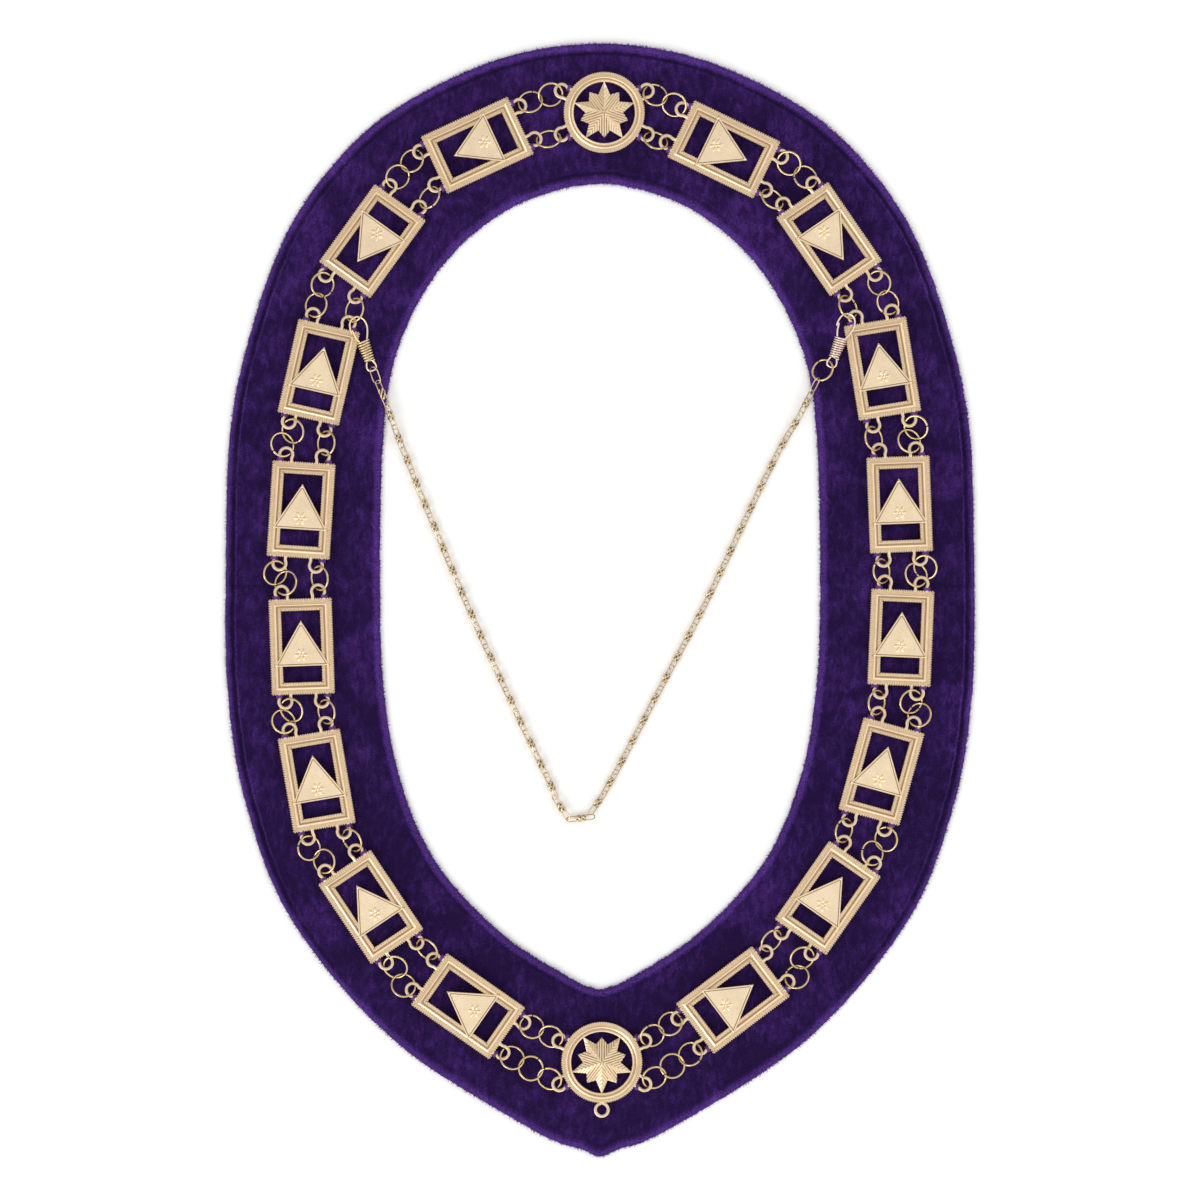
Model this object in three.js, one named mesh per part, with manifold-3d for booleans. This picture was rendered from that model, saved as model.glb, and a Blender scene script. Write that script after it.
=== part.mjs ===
// Chain collar: a flat velvet band that carries a chain of pierced plates and star medallions
// linked by jump rings, with a safety chain clipped across the neck opening.
// Millimetres, +Z up. The collar lies face up on the XY plane, the back of the neck towards +Y.

import * as THREE from 'three';
import { mergeVertices } from 'three/addons/utils/BufferGeometryUtils.js';
import Module from 'manifold-3d';

// Velvet band: stations from the back of the neck down to the front point, right half
const bandStations = [
  { inner: [0, 208], outer: [0, 278] },
  { inner: [34.5, 200.5], outer: [51, 270] },
  { inner: [60, 185.5], outer: [102, 245.5] },
  { inner: [79.5, 166], outer: [135, 215.5] },
  { inner: [95, 140.5], outer: [159, 178] },
  { inner: [105, 110.5], outer: [176.8, 125.5] },
  { inner: [109, 70], outer: [185, 80] },
  { inner: [110, 10], outer: [187, 10] },
  { inner: [108.5, -40], outer: [186, -45] },
  { inner: [101, -86], outer: [177.5, -99.5] },
  { inner: [83, -129.5], outer: [154.2, -159.5] },
  { inner: [50, -166], outer: [103.5, -219.5] },
  { inner: [14, -189.5], outer: [35.2, -264] },
  { inner: [4, -193.8], outer: [9, -274.6] },
  { inner: [0, -194.5], outer: [0, -278] },
];
const bandSections = 42;
const fieldTop = 2.3;
const hemTop = 2.7;
const edgeBulge = 1.2;

// Section across the band: how far in from which edge, and how high
const bandSection = [
  { edge: 'inner', inset: 1.2, height: 0 },
  { edge: 'inner', inset: 0, height: edgeBulge },
  { edge: 'inner', inset: 2.2, height: hemTop },
  { edge: 'inner', inset: 5, height: fieldTop },
  { edge: 'outer', inset: 5, height: fieldTop },
  { edge: 'outer', inset: 2.2, height: hemTop },
  { edge: 'outer', inset: 0, height: edgeBulge },
  { edge: 'outer', inset: 1.2, height: 0 },
];

// Plates: centre of each one and the turn of its apex from +Y, counter-clockwise in degrees
const plateRows = [
  { name: 'plate_right_1', x: 61.8, y: 224.8, turn: -115.8 },
  { name: 'plate_right_2', x: 114.3, y: 180, turn: -145.5 },
  { name: 'plate_right_3', x: 140.9, y: 115.5, turn: 9.2 },
  { name: 'plate_right_4', x: 149.5, y: 47.7, turn: 2.2 },
  { name: 'plate_right_5', x: 150.1, y: -18.8, turn: -2.4 },
  { name: 'plate_right_6', x: 140.4, y: -85.5, turn: -15.4 },
  { name: 'plate_right_7', x: 113.6, y: -148.6, turn: -34.8 },
  { name: 'plate_right_8', x: 66.3, y: -199.5, turn: -52.9 },
  { name: 'plate_left_8', x: -65.8, y: -202.6, turn: 55.1 },
  { name: 'plate_left_7', x: -114.3, y: -153.1, turn: 33.7 },
  { name: 'plate_left_6', x: -141.3, y: -90.2, turn: 9.6 },
  { name: 'plate_left_5', x: -148.8, y: -23.2, turn: 2 },
  { name: 'plate_left_4', x: -149.1, y: 44.9, turn: -3.6 },
  { name: 'plate_left_3', x: -140.3, y: 113.6, turn: -12.8 },
  { name: 'plate_left_2', x: -113.5, y: 179, turn: 144.3 },
  { name: 'plate_left_1', x: -61.2, y: 226.8, turn: 114.8 },
];
const platesPerSide = 8;
const plateWidth = 31.2;
const plateLength = 47.5;
const metalLift = 0.7;

// Moulding of the plate's frame: how far in from the outer edge, and how high
const frameSection = [
  { inset: 0, height: 0 },
  { inset: 0, height: 3.3 },
  { inset: 1.4, height: 3.3 },
  { inset: 3.2, height: 2.2 },
  { inset: 5.4, height: 3.3 },
  { inset: 6, height: 0 },
];

// Raised triangle that bridges the plate's window
const apexAt = 13;
const baseAt = -9.8;
const baseHalf = 13.7;
const triangleBottom = 1.2;
const triangleTop = 4;

// Eyelets cast on the ends of the plates and round the medallions
const eyeletHole = 2.6;
const eyeletBar = 1.4;
const eyeletStand = 3.5;
const eyeletRoot = 0.7;
const eyeletThick = 0.9;
const eyeletMid = 2.7;
const eyeletHalfSides = 4;
const eyeletSpread = 9.1;
const legOuter = 3.1;
const legInner = 1.3;

// Star medallions
const medallionRows = [
  { name: 'medallion_top', x: 2.1, y: 243.2, starTurn: 90, pendantLoop: false },
  { name: 'medallion_bottom', x: 0.9, y: -230.7, starTurn: -90, pendantLoop: true },
];
const medallionRadius = 20.3;
const rimSides = 16;
const rimSection = [
  { inset: 0, height: 0 },
  { inset: 0, height: 3.3 },
  { inset: 1.4, height: 3.3 },
  { inset: 3, height: 2.3 },
  { inset: 5, height: 3 },
  { inset: 5, height: 0 },
];
const starRays = 5;
const longRay = 15.7;
const shortRay = 12.4;
const rayNotch = 9.4;
const starPeak = 3.5;
const rayCrest = 2.7;
const notchCrest = 1.7;
const starBottom = 0.8;
const medallionEyelets = [27, 153, 207, -27];
const pendantStand = 3.9;

// Jump rings: how many lie in each gap, clockwise from the top medallion
const gapRows = [
  { outer: 2, inner: 1, sway: -1 },
  { outer: 2, inner: 1, sway: 1 },
  { outer: 2, inner: 1, sway: 1 },
  { outer: 2, inner: 1, sway: 1 },
  { outer: 2, inner: 1, sway: 1 },
  { outer: 2, inner: 1, sway: -1 },
  { outer: 2, inner: 1, sway: 1 },
  { outer: 2, inner: 1, sway: -1 },
  { outer: 3, inner: 2, sway: 1 },
  { outer: 3, inner: 2, sway: -1 },
  { outer: 2, inner: 1, sway: 1 },
  { outer: 2, inner: 1, sway: -1 },
  { outer: 2, inner: 1, sway: 1 },
  { outer: 2, inner: 1, sway: -1 },
  { outer: 2, inner: 1, sway: 1 },
  { outer: 2, inner: 1, sway: -1 },
  { outer: 2, inner: 1, sway: 1 },
  { outer: 2, inner: 1, sway: -1 },
];
const neckCentre = new THREE.Vector2(0, 10);
const ringRadius = 6;
const ringWire = 0.5;
const ringSides = 10;
const wireSides = 5;
const tautPitch = 11.3;
const tautArm = 4.15;
const slackArm = 5.2;
const slackContact = 0.79;
const slackRounds = 6;
const crossingLean = THREE.MathUtils.degToRad(6);
const stringTilt = THREE.MathUtils.degToRad(28);
const stringLift = 0.05;
const ringFloorGap = 0.1;

// A single ring leans more the closer its two eyelets are
const singleTiltMost = 45;
const singleTiltLeast = 40;
const singleTiltSpan = 12.5;
const singleTiltPerMm = 2;

// Spring wire clips: which gap's single ring each one hooks, and where its axis heads
const clipRows = [
  { name: 'clip_right', gap: 2, endSign: 1, hookAngle: 32, heading: -20, eyeDrop: 2 },
  { name: 'clip_left', gap: 15, endSign: -1, hookAngle: 32, heading: 18, eyeDrop: 2 },
];
const clipWire = 0.55;
const clipLength = 28.6;
const bowPath = [
  { side: -1.9, along: -14 },
  { side: -3.9, along: -9 },
  { side: -4.3, along: -5.5 },
  { side: -3.2, along: -1.7 },
  { side: 0, along: 0 },
  { side: 3.2, along: -1.7 },
  { side: 4.3, along: -5.5 },
  { side: 3.9, along: -9 },
  { side: 1.9, along: -14 },
];
const bowSteps = 10;
const coilTop = 12.6;
const coilLength = 11.2;
const coilTopRadius = 2.85;
const coilEndRadius = 2;
const coilFlat = 0.55;
const clipEyeRadius = 2.45;
const hookGap = 1;

// Ring between the right clip and the safety chain
const clipRingRadius = 5.5;
const clipRingReach = 5.9;
const clipRingHeading = -141;
const clipRingRoll = 0.65;
const clipRingHeight = 4.2;

// Safety chain: the route of its middle line from the left clip to the ring on the right clip
const chainDiameter = 3.6;
const chainSides = 8;
const chainStep = 11.4;
const onTable = 2.1;
const chainRoute = [
  { x: -113.05, y: 113.6, z: 7 },
  { x: -107.6, y: 100.5, z: 4.9 },
  { x: -104.2, y: 91, z: 3.9 },
  { x: -99.5, y: 78, z: 2.4 },
  { x: -93.5, y: 63, z: onTable },
  { x: -87.5, y: 48, z: onTable },
  { x: -65, y: -5.5, z: onTable },
  { x: -45, y: -49.5, z: onTable },
  { x: -26, y: -89.5, z: onTable },
  { x: -18.5, y: -105, z: onTable },
  { x: -10.5, y: -109, z: onTable },
  { x: -4, y: -105, z: onTable },
  { x: 6, y: -89.5, z: onTable },
  { x: 30, y: -44.5, z: onTable },
  { x: 52.5, y: -2, z: onTable },
  { x: 77.5, y: 50.5, z: onTable },
  { x: 90, y: 75.5, z: 2.2 },
  { x: 99, y: 91, z: 3.3 },
  { x: 104.2, y: 101, z: 4.7 },
  { x: 108.1, y: 109, z: 6.5 },
];

const finishes = {
  velvet: { color: 0x3a1a72, roughness: 0.95, metalness: 0 },
  plate: { color: 0xe6c894, roughness: 0.35, metalness: 1 },
  ring: { color: 0xd9b878, roughness: 0.28, metalness: 1 },
  clip: { color: 0xe3c8a0, roughness: 0.3, metalness: 1 },
  chain: { color: 0xc9a55f, roughness: 0.3, metalness: 1 },
};

const wasm = await Module();
wasm.setup();

function toSolid(geometry) {
  const bare = new THREE.BufferGeometry();
  bare.setAttribute('position', geometry.getAttribute('position'));
  bare.setIndex(geometry.getIndex());
  const merged = mergeVertices(bare);
  return new wasm.Manifold(new wasm.Mesh({
    numProp: 3,
    vertProperties: new Float32Array(merged.getAttribute('position').array),
    triVerts: new Uint32Array(merged.getIndex().array),
  }));
}

function toGeometry(solid) {
  const { vertProperties, triVerts } = solid.getMesh();
  const geometry = new THREE.BufferGeometry();
  geometry.setAttribute('position', new THREE.BufferAttribute(vertProperties, 3));
  geometry.setIndex(new THREE.BufferAttribute(triVerts, 1));
  geometry.computeVertexNormals();
  return geometry;
}

function fuse(geometries) {
  return toGeometry(geometries.map(toSolid).reduce((whole, piece) => whole.add(piece)));
}

function named(name, geometry, finish) {
  const mesh = new THREE.Mesh(geometry, new THREE.MeshStandardMaterial(finishes[finish]));
  mesh.name = name;
  return mesh;
}

// Joins equal closed sections, one after another and round to the first, into one skin
function loftRing(sections) {
  const perSection = sections[0].length;
  const corner = (row, column) => (row % sections.length) * perSection + (column % perSection);
  const faces = [];
  for (let row = 0; row < sections.length; row += 1) {
    for (let column = 0; column < perSection; column += 1) {
      const near = corner(row, column);
      const next = corner(row + 1, column);
      const nextUp = corner(row + 1, column + 1);
      const nearUp = corner(row, column + 1);
      faces.push(near, next, nextUp, near, nextUp, nearUp);
    }
  }
  const geometry = new THREE.BufferGeometry().setFromPoints(sections.flat());
  geometry.setIndex(faces);
  geometry.computeVertexNormals();
  return geometry;
}

function polygon(radius, sides) {
  const points = [];
  for (let side = 0; side < sides; side += 1) {
    const angle = (2 * Math.PI * side) / sides;
    points.push(new THREE.Vector2(radius * Math.cos(angle), radius * Math.sin(angle)));
  }
  return new THREE.Shape(points);
}

function bandEdge(edge) {
  const right = bandStations.map((station) => station[edge]);
  const left = right.slice(1, -1).reverse().map(([x, y]) => [-x, y]);
  const points = [...right, ...left].map(([x, y]) => new THREE.Vector3(x, y, 0));
  return new THREE.CatmullRomCurve3(points, true, 'catmullrom');
}

function bandGeometry() {
  const innerEdge = bandEdge('inner');
  const outerEdge = bandEdge('outer');
  const sections = [];
  for (let index = 0; index < bandSections; index += 1) {
    const inner = innerEdge.getPoint(index / bandSections);
    const outer = outerEdge.getPoint(index / bandSections);
    const across = outer.clone().sub(inner).normalize();
    sections.push(bandSection.map(({ edge, inset, height }) => {
      const point = edge === 'inner' ? inner.clone() : outer.clone();
      point.addScaledVector(across, edge === 'inner' ? inset : -inset);
      return point.setZ(height);
    }));
  }
  return loftRing(sections);
}

function frameGeometry() {
  const corners = [[1, 1], [-1, 1], [-1, -1], [1, -1]];
  return loftRing(corners.map(([right, up]) => frameSection.map(({ inset, height }) => {
    const x = right * (plateWidth / 2 - inset);
    const y = up * (plateLength / 2 - inset);
    return new THREE.Vector3(x, y, height);
  })));
}

function triangleGeometry() {
  const corners = [[-baseHalf, baseAt], [baseHalf, baseAt], [0, apexAt]];
  const shape = new THREE.Shape(corners.map(([x, y]) => new THREE.Vector2(x, y)));
  const depth = triangleTop - triangleBottom;
  const geometry = new THREE.ExtrudeGeometry(shape, { depth, bevelEnabled: false });
  return geometry.translate(0, 0, triangleBottom);
}

// An eyelet pointing along +Y, its hole at the origin and its legs running back into the metal
function eyeletGeometry(stand) {
  const root = -(stand + eyeletRoot);
  const outer = [];
  const inner = [];
  for (let side = 0; side <= eyeletHalfSides; side += 1) {
    const angle = (Math.PI * side) / eyeletHalfSides;
    const ray = new THREE.Vector2(Math.cos(angle), Math.sin(angle));
    outer.push(ray.clone().multiplyScalar(eyeletHole + eyeletBar));
    inner.unshift(ray.clone().multiplyScalar(eyeletHole));
  }
  const leg = (x) => new THREE.Vector2(x, root);
  const outline = [leg(legOuter), ...outer, leg(-legOuter), leg(-legInner), ...inner, leg(legInner)];
  const shape = new THREE.Shape(outline);
  const geometry = new THREE.ExtrudeGeometry(shape, { depth: eyeletThick, bevelEnabled: false });
  return geometry.translate(0, 0, eyeletMid - eyeletThick / 2);
}

function plateEyelets() {
  const reach = plateLength / 2 + eyeletStand;
  return [[-1, 1], [1, 1], [-1, -1], [1, -1]].map(([right, up]) => (
    new THREE.Vector2(right * eyeletSpread, up * reach)
  ));
}

function plateGeometry() {
  const eyelets = plateEyelets().map(({ x, y }) => (
    eyeletGeometry(eyeletStand).rotateZ(y > 0 ? 0 : Math.PI).translate(x, y, 0)
  ));
  return fuse([frameGeometry(), triangleGeometry(), ...eyelets]);
}

function rimGeometry() {
  const sections = [];
  for (let side = 0; side < rimSides; side += 1) {
    const angle = (2 * Math.PI * side) / rimSides;
    sections.push(rimSection.map(({ inset, height }) => {
      const radius = medallionRadius - inset;
      return new THREE.Vector3(radius * Math.cos(angle), radius * Math.sin(angle), height);
    }));
  }
  return loftRing(sections);
}

function starGeometry(turn) {
  const corners = 4 * starRays;
  const cycle = [[longRay, rayCrest], [rayNotch, notchCrest], [shortRay, rayCrest], [rayNotch, notchCrest]];
  const points = [new THREE.Vector3(0, 0, starPeak), new THREE.Vector3(0, 0, starBottom)];
  for (let index = 0; index < corners; index += 1) {
    const [radius, crest] = cycle[index % cycle.length];
    const angle = THREE.MathUtils.degToRad(turn) + (2 * Math.PI * index) / corners;
    const x = radius * Math.cos(angle);
    const y = radius * Math.sin(angle);
    points.push(new THREE.Vector3(x, y, crest), new THREE.Vector3(x, y, starBottom));
  }
  const faces = [];
  for (let index = 0; index < corners; index += 1) {
    const top = 2 + 2 * index;
    const nextTop = 2 + 2 * ((index + 1) % corners);
    faces.push(0, top, nextTop, 1, nextTop + 1, top + 1);
    faces.push(top, top + 1, nextTop + 1, top, nextTop + 1, nextTop);
  }
  const geometry = new THREE.BufferGeometry().setFromPoints(points);
  geometry.setIndex(faces);
  return geometry;
}

function medallionGeometry({ starTurn, pendantLoop }) {
  const pieces = [rimGeometry(), starGeometry(starTurn)];
  const addEyelet = (degrees, stand) => {
    const eyelet = eyeletGeometry(stand).translate(0, medallionRadius + stand, 0);
    pieces.push(eyelet.rotateZ(THREE.MathUtils.degToRad(degrees - 90)));
  };
  medallionEyelets.forEach((degrees) => addEyelet(degrees, eyeletStand));
  if (pendantLoop) addEyelet(-90, pendantStand);
  return fuse(pieces);
}

// A round wire ring whose plane rises along a gradient in X and Y
function ringGeometry(radius, centre, gradient) {
  const normal = new THREE.Vector3(-gradient.x, -gradient.y, 1).normalize();
  const turn = new THREE.Quaternion().setFromUnitVectors(new THREE.Vector3(0, 0, 1), normal);
  const geometry = new THREE.TorusGeometry(radius, ringWire, wireSides, ringSides);
  return geometry.applyQuaternion(turn).translate(centre.x, centre.y, centre.z);
}

// One ring between two eyelets: it leans over and slides sideways until it threads both
function singleRing(span, highSide) {
  const wanted = singleTiltMost - singleTiltPerMm * (span - singleTiltSpan);
  const tilt = THREE.MathUtils.degToRad(THREE.MathUtils.clamp(wanted, singleTiltLeast, singleTiltMost));
  const eyeletHeight = metalLift + eyeletMid;
  const rise = ringRadius * Math.sin(tilt) + ringWire + ringFloorGap - eyeletHeight;
  const slide = rise / Math.tan(tilt);
  const centre = new THREE.Vector3(0, highSide * slide, rise);
  const gradient = new THREE.Vector2(0, highSide * Math.tan(tilt));
  return { centre, gradient, tilt };
}

// Rings pulled straight between two eyelets, the ends of the string tilted opposite ways
function tautLay(count) {
  return { along: (tautPitch * (count - 1)) / 2, aside: 0, slope: Math.PI / 2 };
}

// Two slack rings lie in an S. Each slopes across its arm to thread its eyelet, and leans so that
// it passes over one wire of its neighbour and under the other. The spacing is found in rounds,
// because the rings look narrower to each other the more they slope
function slackLay(span) {
  let half = ringRadius;
  let lay = {};
  for (let round = 0; round < slackRounds; round += 1) {
    const along = (span * span / 4 + half * half - slackArm * slackArm) / span;
    const aside = Math.sqrt(half * half - along * along);
    const neighbour = Math.atan2(-aside, along);
    let crossing = Math.atan2(aside, span / 2 - along) - neighbour;
    const lean = crossing - Math.PI / 2;
    if (Math.abs(lean) < crossingLean) crossing = Math.PI / 2 + Math.sign(lean) * crossingLean;
    lay = { along, aside, slope: neighbour + Math.PI / 2 + crossing };
    const steepness = Math.atan(Math.tan(stringTilt) * Math.sin(crossing));
    half = ringRadius * Math.cos(steepness) - slackContact / 2;
  }
  return lay;
}

function ringString(span, count, sway) {
  const isTaut = span >= tautPitch * (count - 1) + 2 * tautArm;
  const { along, aside, slope } = isTaut ? tautLay(count) : slackLay(span);
  const rings = [];
  for (let index = 0; index < count; index += 1) {
    const share = 1 - (2 * index) / (count - 1);
    const steep = share * Math.tan(stringTilt);
    const centre = new THREE.Vector3(-along * share, sway * aside * share, stringLift);
    const gradient = new THREE.Vector2(steep * Math.cos(slope), sway * steep * Math.sin(slope));
    rings.push(ringGeometry(ringRadius, centre, gradient));
  }
  return fuse(rings);
}

function place(mesh, x, y, z, turn) {
  mesh.position.set(x, y, z);
  mesh.rotation.z = turn;
  return mesh;
}

// The links of the main chain in order, each with its eyelets in the collar's frame
function chainLinks() {
  const [top, bottom] = medallionRows.map(({ x, y }) => {
    const eyelets = medallionEyelets.map((degrees) => {
      const angle = THREE.MathUtils.degToRad(degrees);
      const reach = medallionRadius + eyeletStand;
      return new THREE.Vector2(x + reach * Math.cos(angle), y + reach * Math.sin(angle));
    });
    return { centre: new THREE.Vector2(x, y), eyelets };
  });
  const plates = plateRows.map(({ x, y, turn }) => {
    const centre = new THREE.Vector2(x, y);
    const angle = THREE.MathUtils.degToRad(turn);
    const origin = new THREE.Vector2();
    const eyelets = plateEyelets().map((eyelet) => eyelet.rotateAround(origin, angle).add(centre));
    return { centre, eyelets };
  });
  return [top, ...plates.slice(0, platesPerSide), bottom, ...plates.slice(platesPerSide)];
}

// The eyelet pair that a gap's outer or inner string runs between
function gapEnds(links, gap, isOuter) {
  const link = links[gap];
  const next = links[(gap + 1) % links.length];
  const facing = (piece, other) => {
    const byNearness = (a, b) => a.distanceTo(other.centre) - b.distanceTo(other.centre);
    const pair = [...piece.eyelets].sort(byNearness).slice(0, 2);
    pair.sort((a, b) => b.distanceTo(neckCentre) - a.distanceTo(neckCentre));
    return pair[isOuter ? 0 : 1];
  };
  const from = facing(link, next);
  const to = facing(next, link);
  const chord = to.clone().sub(from);
  const middle = from.clone().add(to).multiplyScalar(0.5);
  return { middle, span: chord.length(), turn: chord.angle() };
}

// The neck lies to the right of each chord, because the gaps run clockwise
const neckSide = -1;

function stringMesh(links, gap, isOuter) {
  const count = isOuter ? gapRows[gap].outer : gapRows[gap].inner;
  const { middle, span, turn } = gapEnds(links, gap, isOuter);
  const single = singleRing(span, neckSide);
  const geometry = count === 1
    ? ringGeometry(ringRadius, single.centre, single.gradient)
    : ringString(span, count, gapRows[gap].sway);
  const number = String(gap + 1).padStart(2, '0');
  const mesh = named(`rings_${isOuter ? 'outer' : 'inner'}_${number}`, geometry, 'ring');
  return place(mesh, middle.x, middle.y, fieldTop + metalLift + eyeletMid, turn);
}

function clipGeometry() {
  const points = bowPath.map(({ side, along }) => new THREE.Vector3(side, along, 0));
  const extrudePath = new THREE.CatmullRomCurve3(points);
  const bow = new THREE.ExtrudeGeometry(polygon(clipWire, wireSides), { steps: bowSteps, extrudePath });
  const coil = new THREE.CylinderGeometry(coilTopRadius, coilEndRadius, coilLength, ringSides);
  coil.scale(1, 1, coilFlat).translate(0, -coilTop - coilLength / 2, 0);
  const eye = new THREE.TorusGeometry(clipEyeRadius, clipWire, wireSides, ringSides);
  eye.translate(0, clipEyeRadius + clipWire - clipLength, 0);
  return fuse([bow, coil, eye]);
}

// Where a clip's hook bears: a point on its jump ring, then back along the clip by the wires
function clipPlace(links, { gap, endSign, hookAngle, heading, eyeDrop }) {
  const { middle, span, turn } = gapEnds(links, gap, false);
  const { centre, tilt } = singleRing(span, neckSide);
  const angle = THREE.MathUtils.degToRad(hookAngle);
  const across = ringRadius * Math.sin(angle);
  const bearing = new THREE.Vector3(
    endSign * ringRadius * Math.cos(angle),
    centre.y + neckSide * across * Math.cos(tilt),
    centre.z + across * Math.sin(tilt),
  );
  bearing.applyAxisAngle(new THREE.Vector3(0, 0, 1), turn);
  bearing.add(new THREE.Vector3(middle.x, middle.y, fieldTop + metalLift + eyeletMid));
  const headingAngle = THREE.MathUtils.degToRad(heading);
  const back = ringWire + clipWire + hookGap;
  bearing.add(new THREE.Vector3(-Math.sin(headingAngle), Math.cos(headingAngle), 0).multiplyScalar(back));
  return { bearing, headingAngle, pitch: Math.asin(eyeDrop / clipLength) };
}

function clipMesh(links, row) {
  const { bearing, headingAngle, pitch } = clipPlace(links, row);
  const mesh = named(row.name, clipGeometry(), 'clip');
  mesh.position.copy(bearing);
  mesh.rotation.set(pitch, 0, headingAngle, 'ZXY');
  return mesh;
}

// The ring that joins the right clip's eye to the safety chain, rolled so that it threads the eye
function clipRingMesh(links) {
  const row = clipRows[0];
  const { bearing, headingAngle } = clipPlace(links, row);
  const eyeAt = clipLength - clipWire - clipEyeRadius;
  const eye = new THREE.Vector3(Math.sin(headingAngle), -Math.cos(headingAngle), 0);
  eye.multiplyScalar(eyeAt).add(bearing);
  eye.z -= (row.eyeDrop * eyeAt) / clipLength;
  const away = THREE.MathUtils.degToRad(clipRingHeading);
  const height = fieldTop + clipRingHeight;
  const fall = (eye.z - height) / clipRingReach;
  const gradient = new THREE.Vector2(-fall, clipRingRoll).rotateAround(new THREE.Vector2(), away);
  const geometry = ringGeometry(clipRingRadius, new THREE.Vector3(), gradient);
  const x = eye.x + clipRingReach * Math.cos(away);
  const y = eye.y + clipRingReach * Math.sin(away);
  return place(named('clip_ring', geometry, 'ring'), x, y, height, 0);
}

function safetyChainGeometry() {
  const route = new THREE.CatmullRomCurve3(chainRoute.map(({ x, y, z }) => new THREE.Vector3(x, y, z)));
  const steps = Math.ceil(route.getLength() / chainStep);
  const section = polygon(chainDiameter / 2, chainSides);
  return new THREE.ExtrudeGeometry(section, { steps, extrudePath: route });
}

const collar = new THREE.Group();
collar.add(named('velvet_collar', bandGeometry(), 'velvet'));

const metalBottom = fieldTop + metalLift;
for (const { name, x, y, turn } of plateRows) {
  const plate = named(name, plateGeometry(), 'plate');
  collar.add(place(plate, x, y, metalBottom, THREE.MathUtils.degToRad(turn)));
}
for (const row of medallionRows) {
  collar.add(place(named(row.name, medallionGeometry(row), 'plate'), row.x, row.y, metalBottom, 0));
}

const links = chainLinks();
gapRows.forEach((row, gap) => {
  collar.add(stringMesh(links, gap, true));
  collar.add(stringMesh(links, gap, false));
});
clipRows.forEach((row) => collar.add(clipMesh(links, row)));
collar.add(clipRingMesh(links));
collar.add(named('safety_chain', safetyChainGeometry(), 'chain'));

export default collar;
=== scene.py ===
import bpy
import math
import random
import numpy as np
from mathutils import Matrix, Vector, noise


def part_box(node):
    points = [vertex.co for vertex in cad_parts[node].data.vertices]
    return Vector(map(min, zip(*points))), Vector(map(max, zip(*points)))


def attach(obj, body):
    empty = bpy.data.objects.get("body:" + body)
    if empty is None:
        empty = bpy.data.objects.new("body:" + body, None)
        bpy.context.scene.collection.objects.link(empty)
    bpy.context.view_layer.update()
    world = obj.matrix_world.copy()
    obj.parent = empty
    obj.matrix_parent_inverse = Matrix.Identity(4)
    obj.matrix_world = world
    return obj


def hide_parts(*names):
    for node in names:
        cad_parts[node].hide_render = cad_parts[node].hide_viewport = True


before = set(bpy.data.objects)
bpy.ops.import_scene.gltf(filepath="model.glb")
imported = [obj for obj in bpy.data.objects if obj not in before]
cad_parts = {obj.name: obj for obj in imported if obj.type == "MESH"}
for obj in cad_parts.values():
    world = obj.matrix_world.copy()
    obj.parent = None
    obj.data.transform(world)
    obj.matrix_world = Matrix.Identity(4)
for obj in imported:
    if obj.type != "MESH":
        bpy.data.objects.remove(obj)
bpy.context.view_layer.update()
mm = 0.001
pile = random.Random(7)
print("frame loaded:", len(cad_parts), "nodes")


# shader maths: one wrapped socket, whose operators add Math nodes
class Shade:
    def __init__(self, tree, socket=None):
        self.tree = tree
        self.socket = socket

    def fill(self, node, sockets):
        # links wrapped sockets into a node, and sets plain values on its own sockets
        for key, value in sockets.items():
            if isinstance(value, Shade):
                self.tree.links.new(value.socket, node.inputs[key])
            else:
                node.inputs[key].default_value = value

    def make(self, kind, settings=None, sockets=None, output=0):
        node = self.tree.nodes.new(kind)
        for key, value in (settings or {}).items():
            setattr(node, key, value)
        self.fill(node, sockets or {})
        return Shade(self.tree, node.outputs[output])

    def mark(self, name):
        return self.make("ShaderNodeAttribute", {"attribute_name": name}, None, 2)

    def part(self, axis):
        return self.make("ShaderNodeSeparateXYZ", None, {"Vector": self}, axis)

    def maths(self, operation, first, second):
        return self.make("ShaderNodeMath", {"operation": operation}, {0: first, 1: second})

    def __add__(self, other):
        return self.maths("ADD", self, other)

    def __radd__(self, other):
        return self.maths("ADD", other, self)

    def __sub__(self, other):
        return self.maths("SUBTRACT", self, other)

    def __rsub__(self, other):
        return self.maths("SUBTRACT", other, self)

    def __mul__(self, other):
        return self.maths("MULTIPLY", self, other)

    def __rmul__(self, other):
        return self.maths("MULTIPLY", other, self)

    def __pow__(self, other):
        return self.maths("POWER", self, other)

    def between(self, low, high):
        ends = {"Value": self, "From Min": low, "From Max": high}
        return self.make("ShaderNodeMapRange", {"clamp": True}, ends)

    def stripe(self, start, full, fade, end):
        return self.between(start, full) * (1 - self.between(fade, end))


def blend(shares, *parts):
    return sum(part * share for part, share in zip(parts, shares))


def mixColour(shade, factor, first, second):
    # Mix has colour sockets at fixed places: factor 0, A 6, B 7, result 2
    return shade.make("ShaderNodeMix", {"data_type": "RGBA"}, {0: factor, 6: first, 7: second}, 2)


def grain(shade, place, size, detail=2.0, distortion=0.0):
    # noise whose spots are about size millimetres across
    sockets = {"Vector": place, "Scale": 1 / (size * mm), "Detail": detail, "Distortion": distortion}
    return shade.make("ShaderNodeTexNoise", None, sockets)


def newFinish(name):
    material = bpy.data.materials.new(name)
    material.use_nodes = True
    shader = material.node_tree.nodes["Principled BSDF"]
    shade = Shade(material.node_tree)
    place = shade.make("ShaderNodeTexCoord", None, None, 3)
    return material, shader, shade, place


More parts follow.
